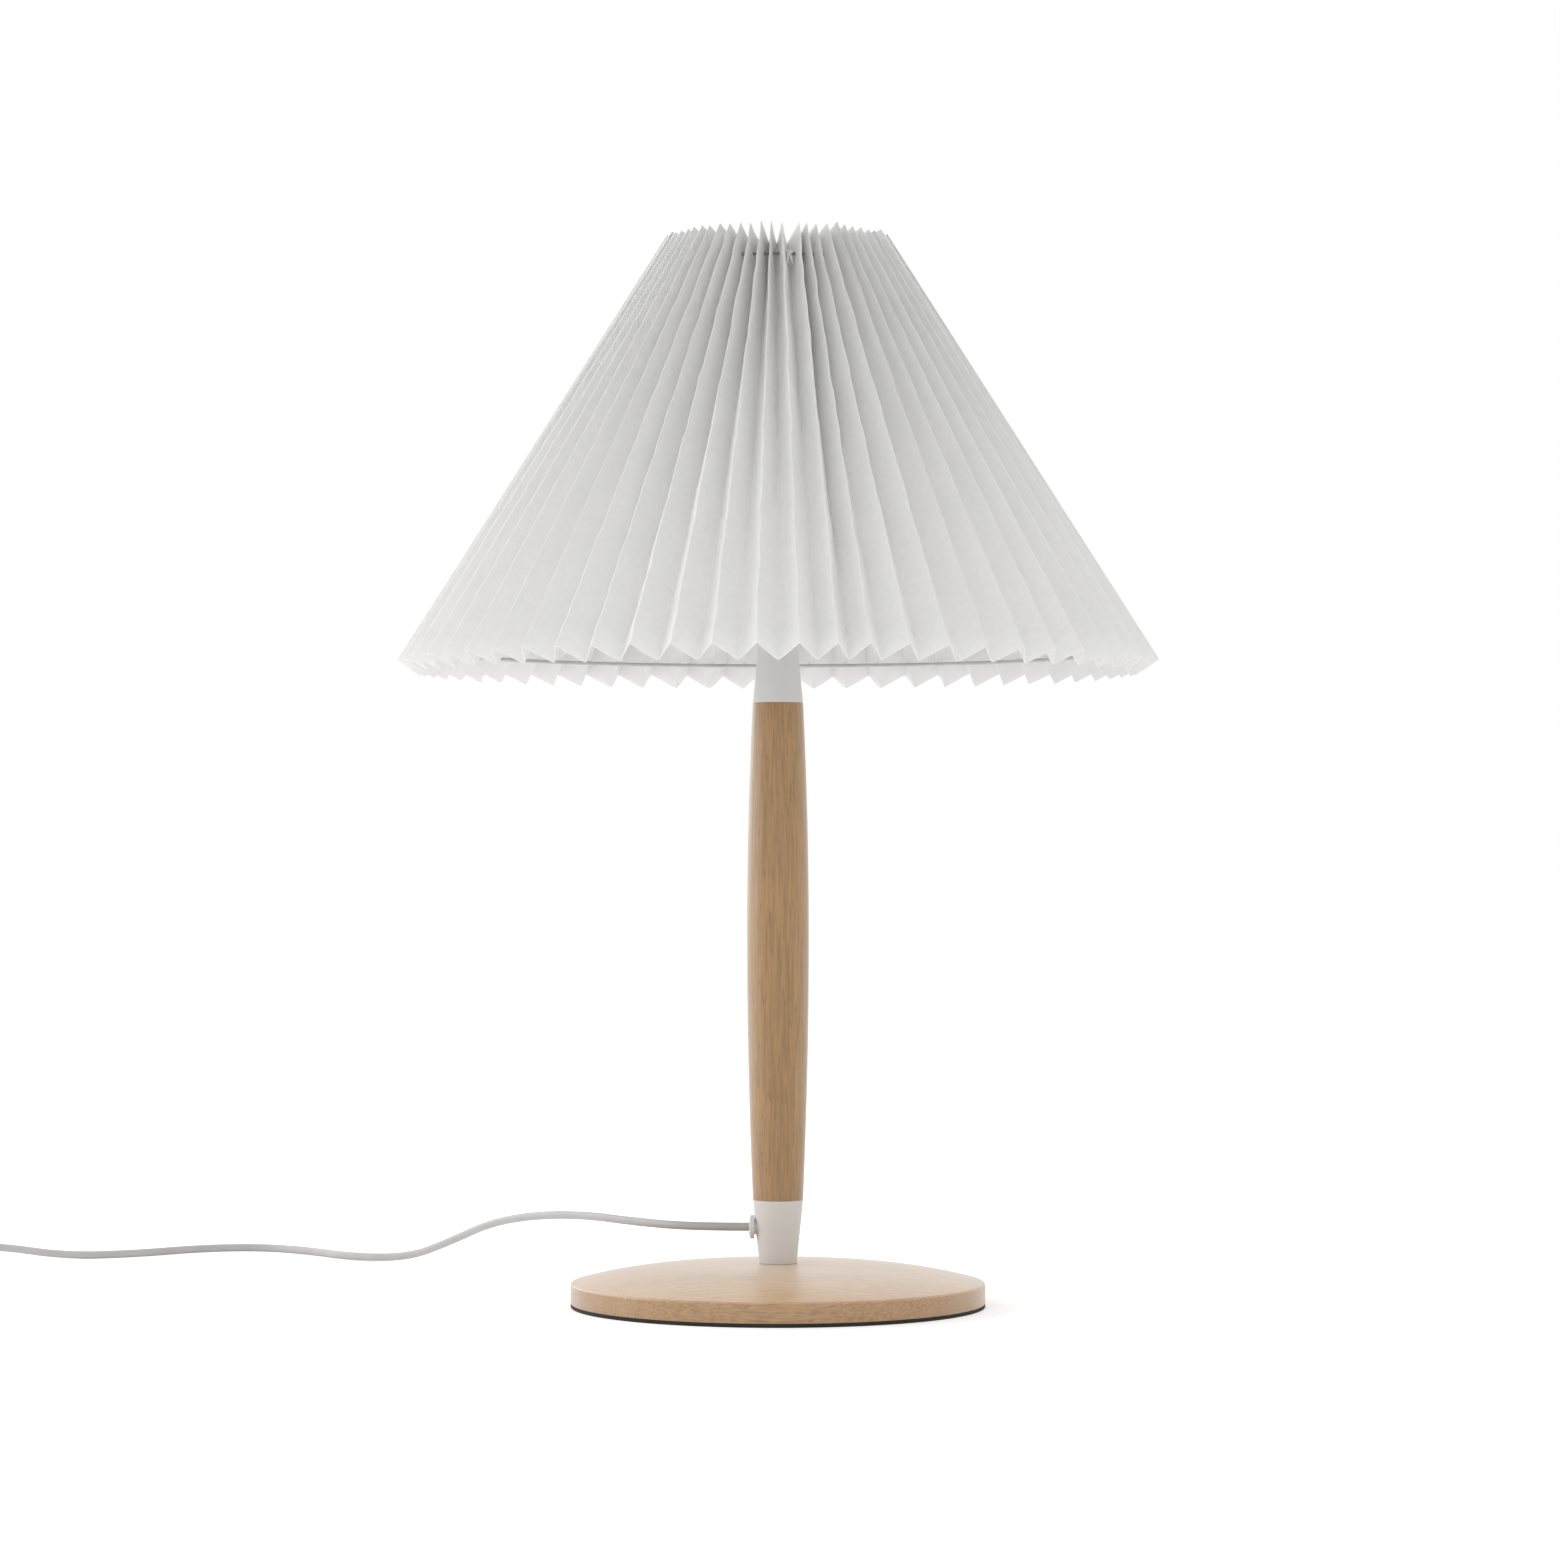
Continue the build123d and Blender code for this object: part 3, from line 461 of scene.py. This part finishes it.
def paper_finish(light, dark, warm):
    """Laminated white paper: faint fibre clouds, a little tooth and a matt gloss."""
    paper = Finish("shade_paper", Specular_IOR_Level=0.3, Subsurface_Weight=0.65, Subsurface_Scale=0.0012,
                   Subsurface_Radius=(1.0, 1.0, 1.0))
    clouds = paper.noise(260.0, 5.0, 0.6)
    fibres = paper.noise(1500.0, 3.0, 0.6, (1.0, 1.0, 0.4))
    tint = paper.noise(9.0, 2.0)
    colour = paper.ramp(clouds, (0.3, dark), (0.7, light))
    colour = paper.mix(paper.spread(tint, 0.0, 0.25), colour, (*warm, 1))
    relief = paper.bump(fibres, 0.00003, 0.7)
    relief = paper.bump(clouds, 0.00006, 0.5, relief)
    return paper.finish(colour, paper.spread(clouds, 0.62, 0.78), relief)


def dress(material, *nodes):
    """Gives carried-over pieces their material."""
    for node in nodes:
        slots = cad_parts[node].data.materials
        slots.clear()
        slots.append(material)


# Skins of plain finishes: light and dark colour, size of patches, roughness, size of grain, relief in metres.
HOLDER_PLASTIC = ((0.76, 0.755, 0.73), (0.72, 0.71, 0.685), 50.0, 0.4, 1300.0, 0.00002)
BULB_METAL = ((0.82, 0.82, 0.82), (0.70, 0.70, 0.71), 140.0, 0.28, 1500.0, 0.00002)
# The carried-over pieces: material, its skin, whether it is a metal, and the nodes that have it.
INNER_PIECES = (
    ("zinc", ((0.55, 0.55, 0.56), (0.42, 0.42, 0.44), 120.0, 0.35, 1500.0, 0.00002), 1.0,
     ("ballast_disc", "base_washer", "base_nut", "base_nipple", "stem_tube", "switch_screws")),
    ("brass", ((0.80, 0.68, 0.42), (0.66, 0.53, 0.30), 150.0, 0.3, 1200.0, 0.00002), 1.0,
     ("screw_shell", "centre_contact", "wire_terminals", "plug_pins")),
    ("coated_wire", ((0.74, 0.74, 0.73), (0.68, 0.68, 0.67), 120.0, 0.45, 1600.0, 0.00003), 0.0,
     ("frame_struts", "fitter_ring", "fitter_spokes")),
    ("holder_plastic", HOLDER_PLASTIC, 0.0, ("holder_cap", "shade_ring")),
    ("ceramic", ((0.84, 0.83, 0.79), (0.78, 0.765, 0.72), 80.0, 0.6, 1500.0, 0.00004), 0.0,
     ("holder_insert",)),
    ("switch_plastic", ((0.62, 0.615, 0.60), (0.58, 0.575, 0.56), 40.0, 0.3, 2600.0, 0.000005), 0.0,
     ("switch_base", "switch_cover", "switch_rocker", "plug_body", "bulb_housing")),
    ("core_rubber", ((0.28, 0.17, 0.10), (0.20, 0.12, 0.07), 90.0, 0.5, 1500.0, 0.00002), 0.0,
     ("supply_cores",)),
    ("frosted_glass", ((0.78, 0.78, 0.765), (0.75, 0.75, 0.735), 60.0, 0.35, 1500.0, 0.00001), 0.0,
     ("bulb_globe",)),
    ("contact_metal", BULB_METAL, 1.0, ("bulb_contact",)),
)


# ---- Pieces ----
class LAMP_OT_stage(Operator):
    """Adds the camera, the lights, the white surroundings and the floor"""
    bl_idname = "lamp.stage"
    bl_label = "Stage"

    def execute(self, context):
        scene = context.scene
        scene.view_settings.view_transform = "Standard"
        camera = bpy.data.cameras.new("camera")
        camera.lens = FOCAL_LENGTH / PICTURE_SIDE * camera.sensor_width
        camera.shift_x = OFFSET_X / PICTURE_SIDE
        camera.shift_y = OFFSET_Y / PICTURE_SIDE
        camera.clip_end = 50
        view = bpy.data.objects.new("camera", camera)
        view.location = (0, -2.347, 0.2374)
        view.rotation_euler = (radians(90), 0, 0)
        scene.collection.objects.link(view)
        scene.camera = view
        self.light(scene, "side", (-2.3, 0.1, 0.9), 1.8, 13)
        self.light(scene, "rim", (-1.6, 1.7, 1.0), 1.6, 10)
        self.light(scene, "top", (0.0, 0.1, 2.5), 2.0, 11)
        self.surroundings(scene)
        self.floor(scene)
        return {"FINISHED"}

    def light(self, scene, name, place, size, power):
        """A square area light turned towards the middle of the lamp's height."""
        lamp = bpy.data.lights.new(name, "AREA")
        lamp.size = size
        lamp.energy = power
        holder = bpy.data.objects.new(name, lamp)
        holder.location = place
        aim = np.array(place) - np.array((0, 0, 0.3))
        flat = np.hypot(aim[0], aim[1])
        holder.rotation_euler = (np.arctan2(flat, aim[2]), 0, np.arctan2(aim[0], -aim[1]))
        scene.collection.objects.link(holder)

    def surroundings(self, scene):
        """White all round, a little dimmer as light on diffuse surfaces."""
        world = bpy.data.worlds.new("surroundings")
        world.use_nodes = True
        scene.world = world
        tree = world.node_tree
        ground = tree.nodes["Background"]
        path = tree.nodes.new("ShaderNodeLightPath")
        first = tree.nodes.new("ShaderNodeMath")
        first.operation = "MAXIMUM"
        second = tree.nodes.new("ShaderNodeMath")
        second.operation = "MAXIMUM"
        level = tree.nodes.new("ShaderNodeMapRange")
        level.inputs["To Min"].default_value = WORLD_LIGHT
        level.inputs["To Max"].default_value = 1.0
        tree.links.new(path.outputs["Is Camera Ray"], first.inputs[0])
        tree.links.new(path.outputs["Is Glossy Ray"], first.inputs[1])
        tree.links.new(first.outputs[0], second.inputs[0])
        tree.links.new(path.outputs["Is Transmission Ray"], second.inputs[1])
        tree.links.new(second.outputs[0], level.inputs["Value"])
        tree.links.new(level.outputs["Result"], ground.inputs["Strength"])
        ground.inputs["Color"].default_value = (1, 1, 1, 1)

    def floor(self, scene):
        """A white floor that glows, less for other than camera rays."""
        size = 12
        mesh = bpy.data.meshes.new("floor")
        mesh.from_pydata([(-size, -size, 0), (size, -size, 0), (size, size, 0), (-size, size, 0)], [],
                         [(0, 1, 2, 3)])
        floor = bpy.data.objects.new("floor", mesh)
        scene.collection.objects.link(floor)
        white = bpy.data.materials.new("floor")
        white.use_nodes = True
        shader = white.node_tree.nodes["Principled BSDF"]
        shader.inputs["Base Color"].default_value = (0.9, 0.9, 0.9, 1)
        shader.inputs["Roughness"].default_value = 0.9
        shader.inputs["Specular IOR Level"].default_value = 0.0
        shader.inputs["Emission Color"].default_value = (1, 1, 1, 1)
        tree = white.node_tree
        path = tree.nodes.new("ShaderNodeLightPath")
        level = tree.nodes.new("ShaderNodeMapRange")
        level.inputs["To Min"].default_value = FLOOR_GLOW
        level.inputs["To Max"].default_value = FLOOR_SEEN
        tree.links.new(path.outputs["Is Camera Ray"], level.inputs["Value"])
        tree.links.new(level.outputs["Result"], shader.inputs["Emission Strength"])
        mesh.materials.append(white)


class LAMP_OT_cord(Operator):
    """Lays the cord from the gland through the switch and the coil to the plug"""
    bl_idname = "lamp.cord"
    bl_label = "Cord"

    def execute(self, context):
        sizes, colours = context.scene.lamp_cord, context.scene.lamp_colours
        points = CORD_RUN + CORD_LINK + self.coil(sizes) + CORD_TAIL
        curve = bpy.data.curves.new("cord", "CURVE")
        curve.dimensions = "3D"
        curve.bevel_depth = sizes.diameter / 2
        curve.bevel_resolution = 6
        curve.use_fill_caps = True
        curve.resolution_u = 10
        curve.render_resolution_u = 10
        spline = curve.splines.new("NURBS")
        spline.points.add(len(points) - 1)
        for spot, point in zip(spline.points, points):
            spot.co = (*point, 1)
        spline.order_u = 3
        spline.use_endpoint_u = True
        white = plain_finish("cord_jacket", tuple(colours.cord_light), tuple(colours.cord_dark), 40.0, 0.42,
                             900.0, 0.00001, Specular_IOR_Level=0.5)
        curve.materials.append(white)
        cord = bpy.data.objects.new("cord", curve)
        context.scene.collection.objects.link(cord)
        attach(cord, "lamp")
        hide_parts("cord_run", "cord_link", "cord_coil", "cord_tail")
        return {"FINISHED"}

    def coil(self, sizes):
        """Control points on the corners round two layers of turns: in to the middle, up and out again."""
        half = sizes.coil_turns
        count = round(2 * half * sizes.coil_points)
        widen = 1 / cos(pi / sizes.coil_points)
        points = []
        for number in range(count):
            turn = (number + 0.5) / sizes.coil_points
            radius = (sizes.coil_inner + sizes.coil_pitch * abs(turn - half)) * widen
            share = np.clip((turn - half) / 0.7 + 0.5, 0, 1)
            rise = share * share * (3 - 2 * share)
            angle = pi / 2 + 2 * pi * turn
            points.append((sizes.coil_centre[0] + radius * cos(angle),
                           sizes.coil_centre[1] + radius * sin(angle),
                           sizes.diameter / 2 + sizes.coil_pitch * rise))
        return points


class LAMP_OT_base(Operator):
    """Turns the domed wooden base and the foam pad under it"""
    bl_idname = "lamp.base"
    bl_label = "Base"

    def execute(self, context):
        sizes, colours = context.scene.lamp_base, context.scene.lamp_colours
        radius, top, fall = sizes.radius, sizes.top, sizes.top - sizes.ridge
        shares = np.linspace(sizes.land / radius, 1, 28)[:-1]
        dome = [(radius * share, top - fall * share ** 3, 0) for share in shares]
        outline = [(sizes.recess, sizes.recess_top, 0), (sizes.recess, sizes.pad, 0),
                   (radius, sizes.pad, ARRIS), (radius, sizes.ridge, sizes.edge_round)] + dome[::-1]
        outline += [(sizes.land * 0.98, top, 0), (sizes.bore, top, 0), (sizes.bore, sizes.recess_top, 0)]
        # The base's side below the ridge gets painted shade in its wood.
        wood = wood_finish("base_wood", 0, tuple(colours.base_light), tuple(colours.base_dark), sizes.ridge)
        surface("base_wood", [(lathe(rounded(outline), BASE_ROUND), True)], wood, "lamp",
                ["base_disc"])
        foam = plain_finish("pad_foam", (0.022, 0.021, 0.021), (0.012, 0.012, 0.012), 60.0, 0.85,
                            1800.0, 0.00008)
        edge = sizes.pad * 0.25
        pad = [(radius - edge, 0.0), (radius - edge * 0.3, edge * 0.3), (radius, edge),
               (radius, sizes.pad - edge),
               (radius - edge * 0.3, sizes.pad - edge * 0.3), (radius - edge, sizes.pad)]
        surface("base_pad_foam", [(lathe(pad, BASE_ROUND), False)], foam, "lamp", ["base_pad"])
        return {"FINISHED"}


class LAMP_OT_stem(Operator):
    """Turns the wooden stem and the two metal collars"""
    bl_idname = "lamp.stem"
    bl_label = "Stem and collars"

    def execute(self, context):
        sizes, colours = context.scene.lamp_stem, context.scene.lamp_colours
        side = []
        for end in (sizes.bottom, sizes.top):
            rise = abs(end - sizes.widest)
            drop = sizes.widest_radius - sizes.end_radius
            bow = (rise ** 2 + drop ** 2) / (2 * drop)
            heights = np.linspace(0, rise, 25)
            sign = 1 if end > sizes.widest else -1
            half = [(sizes.widest_radius - bow + sqrt(bow ** 2 - h ** 2), sizes.widest + sign * h, 0)
                    for h in heights]
            side += half if sign > 0 else half[:0:-1]
        side[0], side[-1] = (*side[0][:2], ARRIS), (*side[-1][:2], ARRIS)
        outline = side + [(sizes.bore, sizes.top, 0), (sizes.bore, sizes.bottom, 0)]
        wood = wood_finish("stem_wood", 2, tuple(colours.stem_light), tuple(colours.stem_dark))
        surface("stem_wood", [(lathe(rounded(outline), STEM_ROUND), True)], wood, "lamp",
                ["stem"])
        white = plain_finish("collar_paint", tuple(colours.collar_light), tuple(colours.collar_dark), 60.0,
                             0.42, 700.0, 0.00002, Specular_IOR_Level=0.5)
        base_top = sizes.bottom - sizes.collar
        for name, small, large in (("lower_collar", base_top, sizes.bottom),
                                   ("upper_collar", sizes.top + sizes.collar, sizes.top)):
            corners = [(sizes.bore, small, 0), (sizes.collar_small, small, sizes.collar_round),
                       (sizes.end_radius, large, sizes.collar_round), (sizes.bore, large, 0)]
            if small > large:
                corners.reverse()
            surface(name + "_paint", [(lathe(rounded(corners), STEM_ROUND), True)], white, "lamp",
                    [name])
        return {"FINISHED"}


class LAMP_OT_shade(Operator):
    """Folds the paper shade and threads the gather string through it"""
    bl_idname = "lamp.shade"
    bl_label = "Shade"

    def execute(self, context):
        sizes, colours = context.scene.lamp_shade, context.scene.lamp_colours
        random = np.random.default_rng(SEED)
        middle = self.folded(sizes, random)
        across = np.roll(middle, -1, 1) - np.roll(middle, 1, 1)
        up = np.gradient(middle, axis=0)
        out = np.cross(across, up)
        out /= np.linalg.norm(out, axis=2, keepdims=True)
        skin = out * sizes.paper / 2
        grid = np.concatenate([middle + skin, (middle - skin)[::-1]])
        paper = paper_finish(tuple(colours.paper_light), tuple(colours.paper_dark), tuple(colours.paper_tint))
        surface("shade_paper", [(grid, True)], paper, "shade", ["pleated_shade"], PAPER_SHARP)
        # The string's dark grey is painted shade from the grooves it runs in.
        fibre = plain_finish("string_fibre", tuple(colours.string_light), tuple(colours.string_dark), 500.0,
                             0.8, 2500.0, 0.00008)
        surface("string_twist", self.strands(sizes), fibre, "shade", ["gather_string"])
        # The knot and tails are pale where the string runs dark: a painted highlight for the glint at the
        # string's end.
        painted_glint = plain_finish("string_end", (0.74, 0.73, 0.71), (0.60, 0.59, 0.57), 500.0, 0.8, 2500.0, 0.00008)
        surface("string_knot", self.knot(sizes), painted_glint, "shade")
        return {"FINISHED"}

    def strands(self, sizes):
        """Two strands round the circle: (R + o cos f) (cos a, sin a), z + o sin f, with f = n a + pi i."""
        twists = round(2 * pi * sizes.string_radius / sizes.string_lay)
        angle = np.linspace(0, 2 * pi, twists * 10, endpoint=False)
        grids = []
        for start in (0, pi):
            turn = twists * angle + start
            radius = sizes.string_radius + sizes.string * 0.22 * np.cos(turn)
            height = sizes.string_height + sizes.string * 0.22 * np.sin(turn)
            path = np.stack([radius * np.cos(angle), radius * np.sin(angle), height], -1)
            grids.append((wire_grid(path, sizes.string * 0.28, True, 8), True))
        return grids

    def knot(self, sizes):
        """An overhand knot, (sin t + 2 sin 2t, -sin 3t, cos t - 2 cos 2t), and two short tails below it."""
        t = np.linspace(0, 2 * pi, 72, endpoint=False)
        turn = radians(5.3) - pi / 2
        away = sizes.string_radius + sizes.string
        centre = np.array([away * cos(turn), away * sin(turn), sizes.string_height])
        loop = np.stack([np.sin(t) + 2 * np.sin(2 * t), -np.sin(3 * t), np.cos(t) - 2 * np.cos(2 * t)], -1)
        thick = sizes.string * 0.34
        grids = [(wire_grid(centre + loop * thick * 0.8, thick, True, 8, (0.0, 1.0, 0.0)), True)]
        share = np.linspace(0, 1, 24)
        for side, length, sway in ((-1, 0.0075, 0.0012), (1, 0.0055, 0.0022)):
            fall = np.stack([side * sway * share ** 0.7, -0.0016 * np.sin(pi * share), -length * share], -1)
            grids.append((tapered_wire(centre + fall - (0, 0, thick), thick), False))
        return grids

    def folded(self, sizes, random, rows=56):
        """The paper's middle surface: ruled faces (1 - s) F(i, t) + s F(i + 1, t) from fold to fold.

        F(i, t) runs straight from a fold's lower to its upper end. A ridge starts at the given radius and
        height and climbs at the slope; a valley lies one pleat's depth inside it. Small seeded offsets make it
        hand-folded.
        """
        count = 2 * sizes.pleats
        index = np.arange(count)
        ridge = index % 2 == 1
        half = pi / sizes.pleats
        out = np.array([cos(sizes.slope), sin(sizes.slope)])
        rise = np.array([-sin(sizes.slope), cos(sizes.slope)])
        start = np.array([sizes.radius, sizes.edge])
        front = index * half
        ends = []
        for corner, turn, push in ((start, 0.0018, 0.0003), (start + sizes.fold * rise, 0.006, 0.0006)):
            bow = 1 - cos(half)
            b = corner[0] * out[0] * bow
            depth = b + sqrt(b ** 2 + sizes.face ** 2 - 2 * corner[0] ** 2 * bow)
            place = np.where(ridge[:, None], corner, corner - depth * out)
            place = place + out * np.abs(random.normal(0, push, (count, 1)))
            place = place + rise * random.normal(0, push * 0.6, (count, 1))
            angle = front - pi / 2 + random.normal(0, turn, count)
            ends.append((place, angle))
        ends[0] = (ends[0][0], ends[0][1] + self.closing(front))
        ends[1] = (ends[1][0], ends[1][1] + self.crowding(front))
        corners = [np.stack([place[:, 0] * np.cos(angle), place[:, 0] * np.sin(angle), place[:, 1]], -1)
                   for place, angle in ends]
        t = np.linspace(0, 1, rows)
        folds = corners[0] + t[:, None, None] * (corners[1] - corners[0])
        folds = folds + self.wobble(folds, t, random)
        following = np.roll(folds, -1, 1)
        shares = np.array([0, 0.06, 0.35, 0.65, 0.94])
        grid = folds[:, :, None] + shares[:, None] * (following - folds)[:, :, None]
        along = np.gradient(folds, axis=0)
        face = np.cross(following - folds, along)
        face /= np.linalg.norm(face, axis=2, keepdims=True)
        bulge = random.normal(0, 0.00022, count) + 0.00022 * np.sin(
            2 * pi * (random.uniform(1, 2.5, count) * t[:, None] + random.uniform(0, 1, count)))
        grid = grid + face[:, :, None] * (bulge[..., None] * np.sin(pi * shares))[..., None]
        beside = (grid[:, :, 1] + np.roll(grid[:, :, -1], 1, 1)) / 2
        grid[:, :, 0] = (grid[:, :, 0] + beside) / 2
        return grid.reshape(rows, -1, 3)

    def closing(self, front):
        """At the lower edge the pleats right of the front stand closer: a shift that grows, then fades out."""
        front = (front + pi) % (2 * pi) - pi
        grow = np.clip((front - radians(4)) / radians(14), 0, 1)
        fade = np.clip((radians(75) - front) / radians(45), 0, 1)
        return -radians(2.4) * grow ** 2 * (3 - 2 * grow) * fade

    def crowding(self, front):
        """The pleats' upper ends crowd towards the front, apart from a gap beside the paper's seam."""
        front = (front + pi) % (2 * pi) - pi
        crowd = -radians(4.0) * np.sin(front)
        gap = radians(2.6) * np.exp(-((front - radians(9)) / radians(5)) ** 2)
        return crowd + gap - radians(1.4) * np.exp(-((front - radians(2)) / radians(4)) ** 2)

    def wobble(self, folds, t, random):
        """Each fold wanders sideways by a few tenths of a millimetre, as sums of sines."""
        radial = folds[:, :, :2] / np.linalg.norm(folds[:, :, :2], axis=2, keepdims=True)
        sideways = np.stack([-radial[..., 1], radial[..., 0]], -1)
        count = folds.shape[1]
        shift = np.zeros((len(t), count))
        for waves, size in ((5, 0.00022), (11, 0.00016), (17, 0.0001)):
            phase = random.uniform(0, 2 * pi, count)
            pace = random.uniform(0.8, 1.2, count) * waves
            shift += size * np.sin(2 * pi * pace * t[:, None] + phase)
        moved = np.zeros_like(folds)
        moved[..., :2] = sideways * shift[..., None]
        return moved


class LAMP_OT_wires(Operator):
    """Bends the two rings of the shade's wire frame"""
    bl_idname = "lamp.wires"
    bl_label = "Wire rings"

    def execute(self, context):
        sizes = context.scene.lamp_shade
        coat = plain_finish("ring_coat", (0.62, 0.62, 0.61), (0.52, 0.52, 0.51), 120.0, 0.45, 1600.0,
                            0.00003)
        for name, radius, height in (("bottom_ring", sizes.bottom_ring, sizes.bottom_height),
                                     ("top_ring", sizes.top_ring, sizes.top_height)):
            ring = (wire_grid(ring_path(radius, height, 360), sizes.wire / 2, True), True)
            weld = (self.weld(radius, height, sizes.wire), False)
            surface(name + "_wire", [ring, weld], coat, "shade", [name])
        return {"FINISHED"}

    def weld(self, radius, height, wire):
        """The butt weld of a ring, at its back: wire radius (0.9 + 0.35 cos(pi s / 2)), s from -1 to 1."""
        place = np.linspace(-1, 1, 25)
        angle = pi / 2 + place * WELD_HALF / radius
        path = np.stack([radius * np.cos(angle), radius * np.sin(angle), np.full(len(place), height)], -1)
        return wire_grid(path, wire / 2 * (0.9 + 0.35 * np.cos(place * pi / 2)), False)


class LAMP_OT_fittings(Operator):
    """Turns the lampholder's shell, the bulb's cap and the cord gland"""
    bl_idname = "lamp.fittings"
    bl_label = "Fittings"

    def execute(self, context):
        sizes = context.scene.lamp_fittings
        moulded = plain_finish("shell_plastic", *HOLDER_PLASTIC)
        surface("holder_shell_thread", [(self.shell(sizes), True)], moulded, "lamp",
                ["holder_shell"])
        metal = plain_finish("bulb_metal", *BULB_METAL, Metallic=1.0)
        surface("bulb_cap_thread", [(self.cap(sizes), False)], metal, "bulb", ["bulb_cap"])
        nylon = plain_finish("gland_nylon", (0.76, 0.755, 0.745), (0.72, 0.715, 0.705), 80.0, 0.4, 1300.0,
                             0.00002)
        height = context.scene.lamp_cord.exit[2]
        surface("cord_gland_nylon", [(self.gland(sizes, height), True)], nylon, "lamp", ["cord_gland"])
        return {"FINISHED"}

    def shell(self, sizes):
        """A profile of (radius, height) spun round Z, with the round thread cut above its shoulder."""
        shoulder_top = sizes.shell_bottom + sizes.shoulder
        corners = [(sizes.wall_radius, sizes.shell_bottom, 0),
                   (sizes.shoulder_radius, sizes.shell_bottom, MOULDED_EDGE),
                   (sizes.shoulder_radius, shoulder_top, MOULDED_EDGE), (sizes.shell_radius, shoulder_top, 0)]
        corners += [(sizes.shell_radius, z, 0) for z in np.linspace(shoulder_top, sizes.shell_top, 170)[1:-1]]
        corners += [(sizes.shell_radius, sizes.shell_top, 0.0001),
                    (sizes.mouth_radius, sizes.shell_top, MOULDED_EDGE),
                    (sizes.mouth_radius, sizes.shell_top - sizes.lip, 0),
                    (sizes.wall_radius, sizes.shell_top - sizes.lip, 0)]
        grid = lathe(rounded(corners))
        outer = np.isclose(np.hypot(grid[:, 0, 0], grid[:, 0, 1]), sizes.shell_radius, atol=0.00012)
        grid[outer] = threaded(grid[outer], shoulder_top + 0.0006, sizes.shell_top - 0.0012,
                               sizes.shell_pitch, THREAD_DEPTH, 0.002)
        return grid

    def cap(self, sizes):
        """A thin cup's profile of (radius, height) spun round Z, its outside cut by the round thread."""
        bottom, wall = sizes.cap_bottom, sizes.cap_wall
        shoulder, top = bottom + sizes.cap_shoulder, bottom + sizes.cap_length
        eye = 0.0005
        corners = [(eye, bottom), (sizes.contact_radius, bottom),
                   (sizes.cap_radius * 0.94, shoulder - 0.0004)]
        corners += [(sizes.cap_radius, z) for z in np.linspace(shoulder, top, 110)]
        inner = sizes.cap_radius - wall
        corners += [(inner, top), (inner, shoulder), (sizes.contact_radius, bottom + wall),
                    (eye, bottom + wall)]
        grid = lathe(corners)
        outer = np.isclose(np.hypot(grid[:, 0, 0], grid[:, 0, 1]), sizes.cap_radius)
        grid[outer] = threaded(grid[outer], shoulder - 0.0002, top - 0.0025, sizes.cap_pitch, THREAD_DEPTH,
                               0.0015)
        return grid

    def gland(self, sizes, height):
        """A profile of (radius r, distance d from the lamp's axis) spun round the cord's axis.

        A point is (-d, r sin a, height + r cos a).
        """
        front, back, radius = sizes.gland_front, sizes.gland_back, sizes.gland_radius
        bore, core = sizes.gland_bore, sizes.gland_core
        crown = [(bore + ARRIS + (radius - bore) * share, front - sizes.gland_dome * share ** 2, 0)
                 for share in np.linspace(0, 0.97, 10)]
        neck = back - sizes.gland_neck
        outline = [(bore, front - sizes.gland_seat, 0), (core, front - sizes.gland_seat, 0), (core, neck, 0),
                   (sizes.gland_thread, neck, ARRIS), (sizes.gland_thread, back, 0), (radius, back, ARRIS),
                   (radius, front - sizes.gland_dome, 0)]
        outline += crown[::-1] + [(bore, front - MOULDED_EDGE, 0)]
        grid = lathe(rounded(outline), GLAND_ROUND)
        return np.stack([-grid[..., 2], grid[..., 1], height + grid[..., 0]], -1)


class LAMP_OT_dress(Operator):
    """Gives the carried-over pieces their materials"""
    bl_idname = "lamp.dress"
    bl_label = "Materials of the inner pieces"

    def execute(self, context):
        for name, skin, metallic, nodes in INNER_PIECES:
            dress(plain_finish(name, *skin, Metallic=metallic), *nodes)
        return {"FINISHED"}


class LAMP_PT_panel(Panel):
    """Lists the lamp's pieces in the sidebar"""
    bl_label = "Pleated paper table lamp"
    bl_idname = "LAMP_PT_panel"
    bl_space_type = "VIEW_3D"
    bl_region_type = "UI"
    bl_category = "Lamp"

    def draw(self, context):
        for operator in OPERATORS:
            self.layout.operator(operator.bl_idname)


OPERATORS = (LAMP_OT_stage, LAMP_OT_cord, LAMP_OT_base, LAMP_OT_stem, LAMP_OT_shade, LAMP_OT_wires,
             LAMP_OT_fittings, LAMP_OT_dress)
SETTINGS = {"lamp_colours": LampColours, "lamp_base": LampBaseSizes, "lamp_stem": LampStemSizes,
            "lamp_cord": LampCordSizes, "lamp_shade": LampShadeSizes, "lamp_fittings": LampFittingSizes}


def register():
    for group in (*SETTINGS.values(), *OPERATORS, LAMP_PT_panel):
        bpy.utils.register_class(group)
    for name, group in SETTINGS.items():
        setattr(bpy.types.Scene, name, PointerProperty(type=group))


def unregister():
    for name in SETTINGS:
        delattr(bpy.types.Scene, name)
    for group in (*SETTINGS.values(), *OPERATORS, LAMP_PT_panel):
        bpy.utils.unregister_class(group)


def main():
    register()
    for operator in OPERATORS:
        getattr(bpy.ops.lamp, operator.bl_idname.split(".")[1])()


if __name__ == "__main__":
    main()
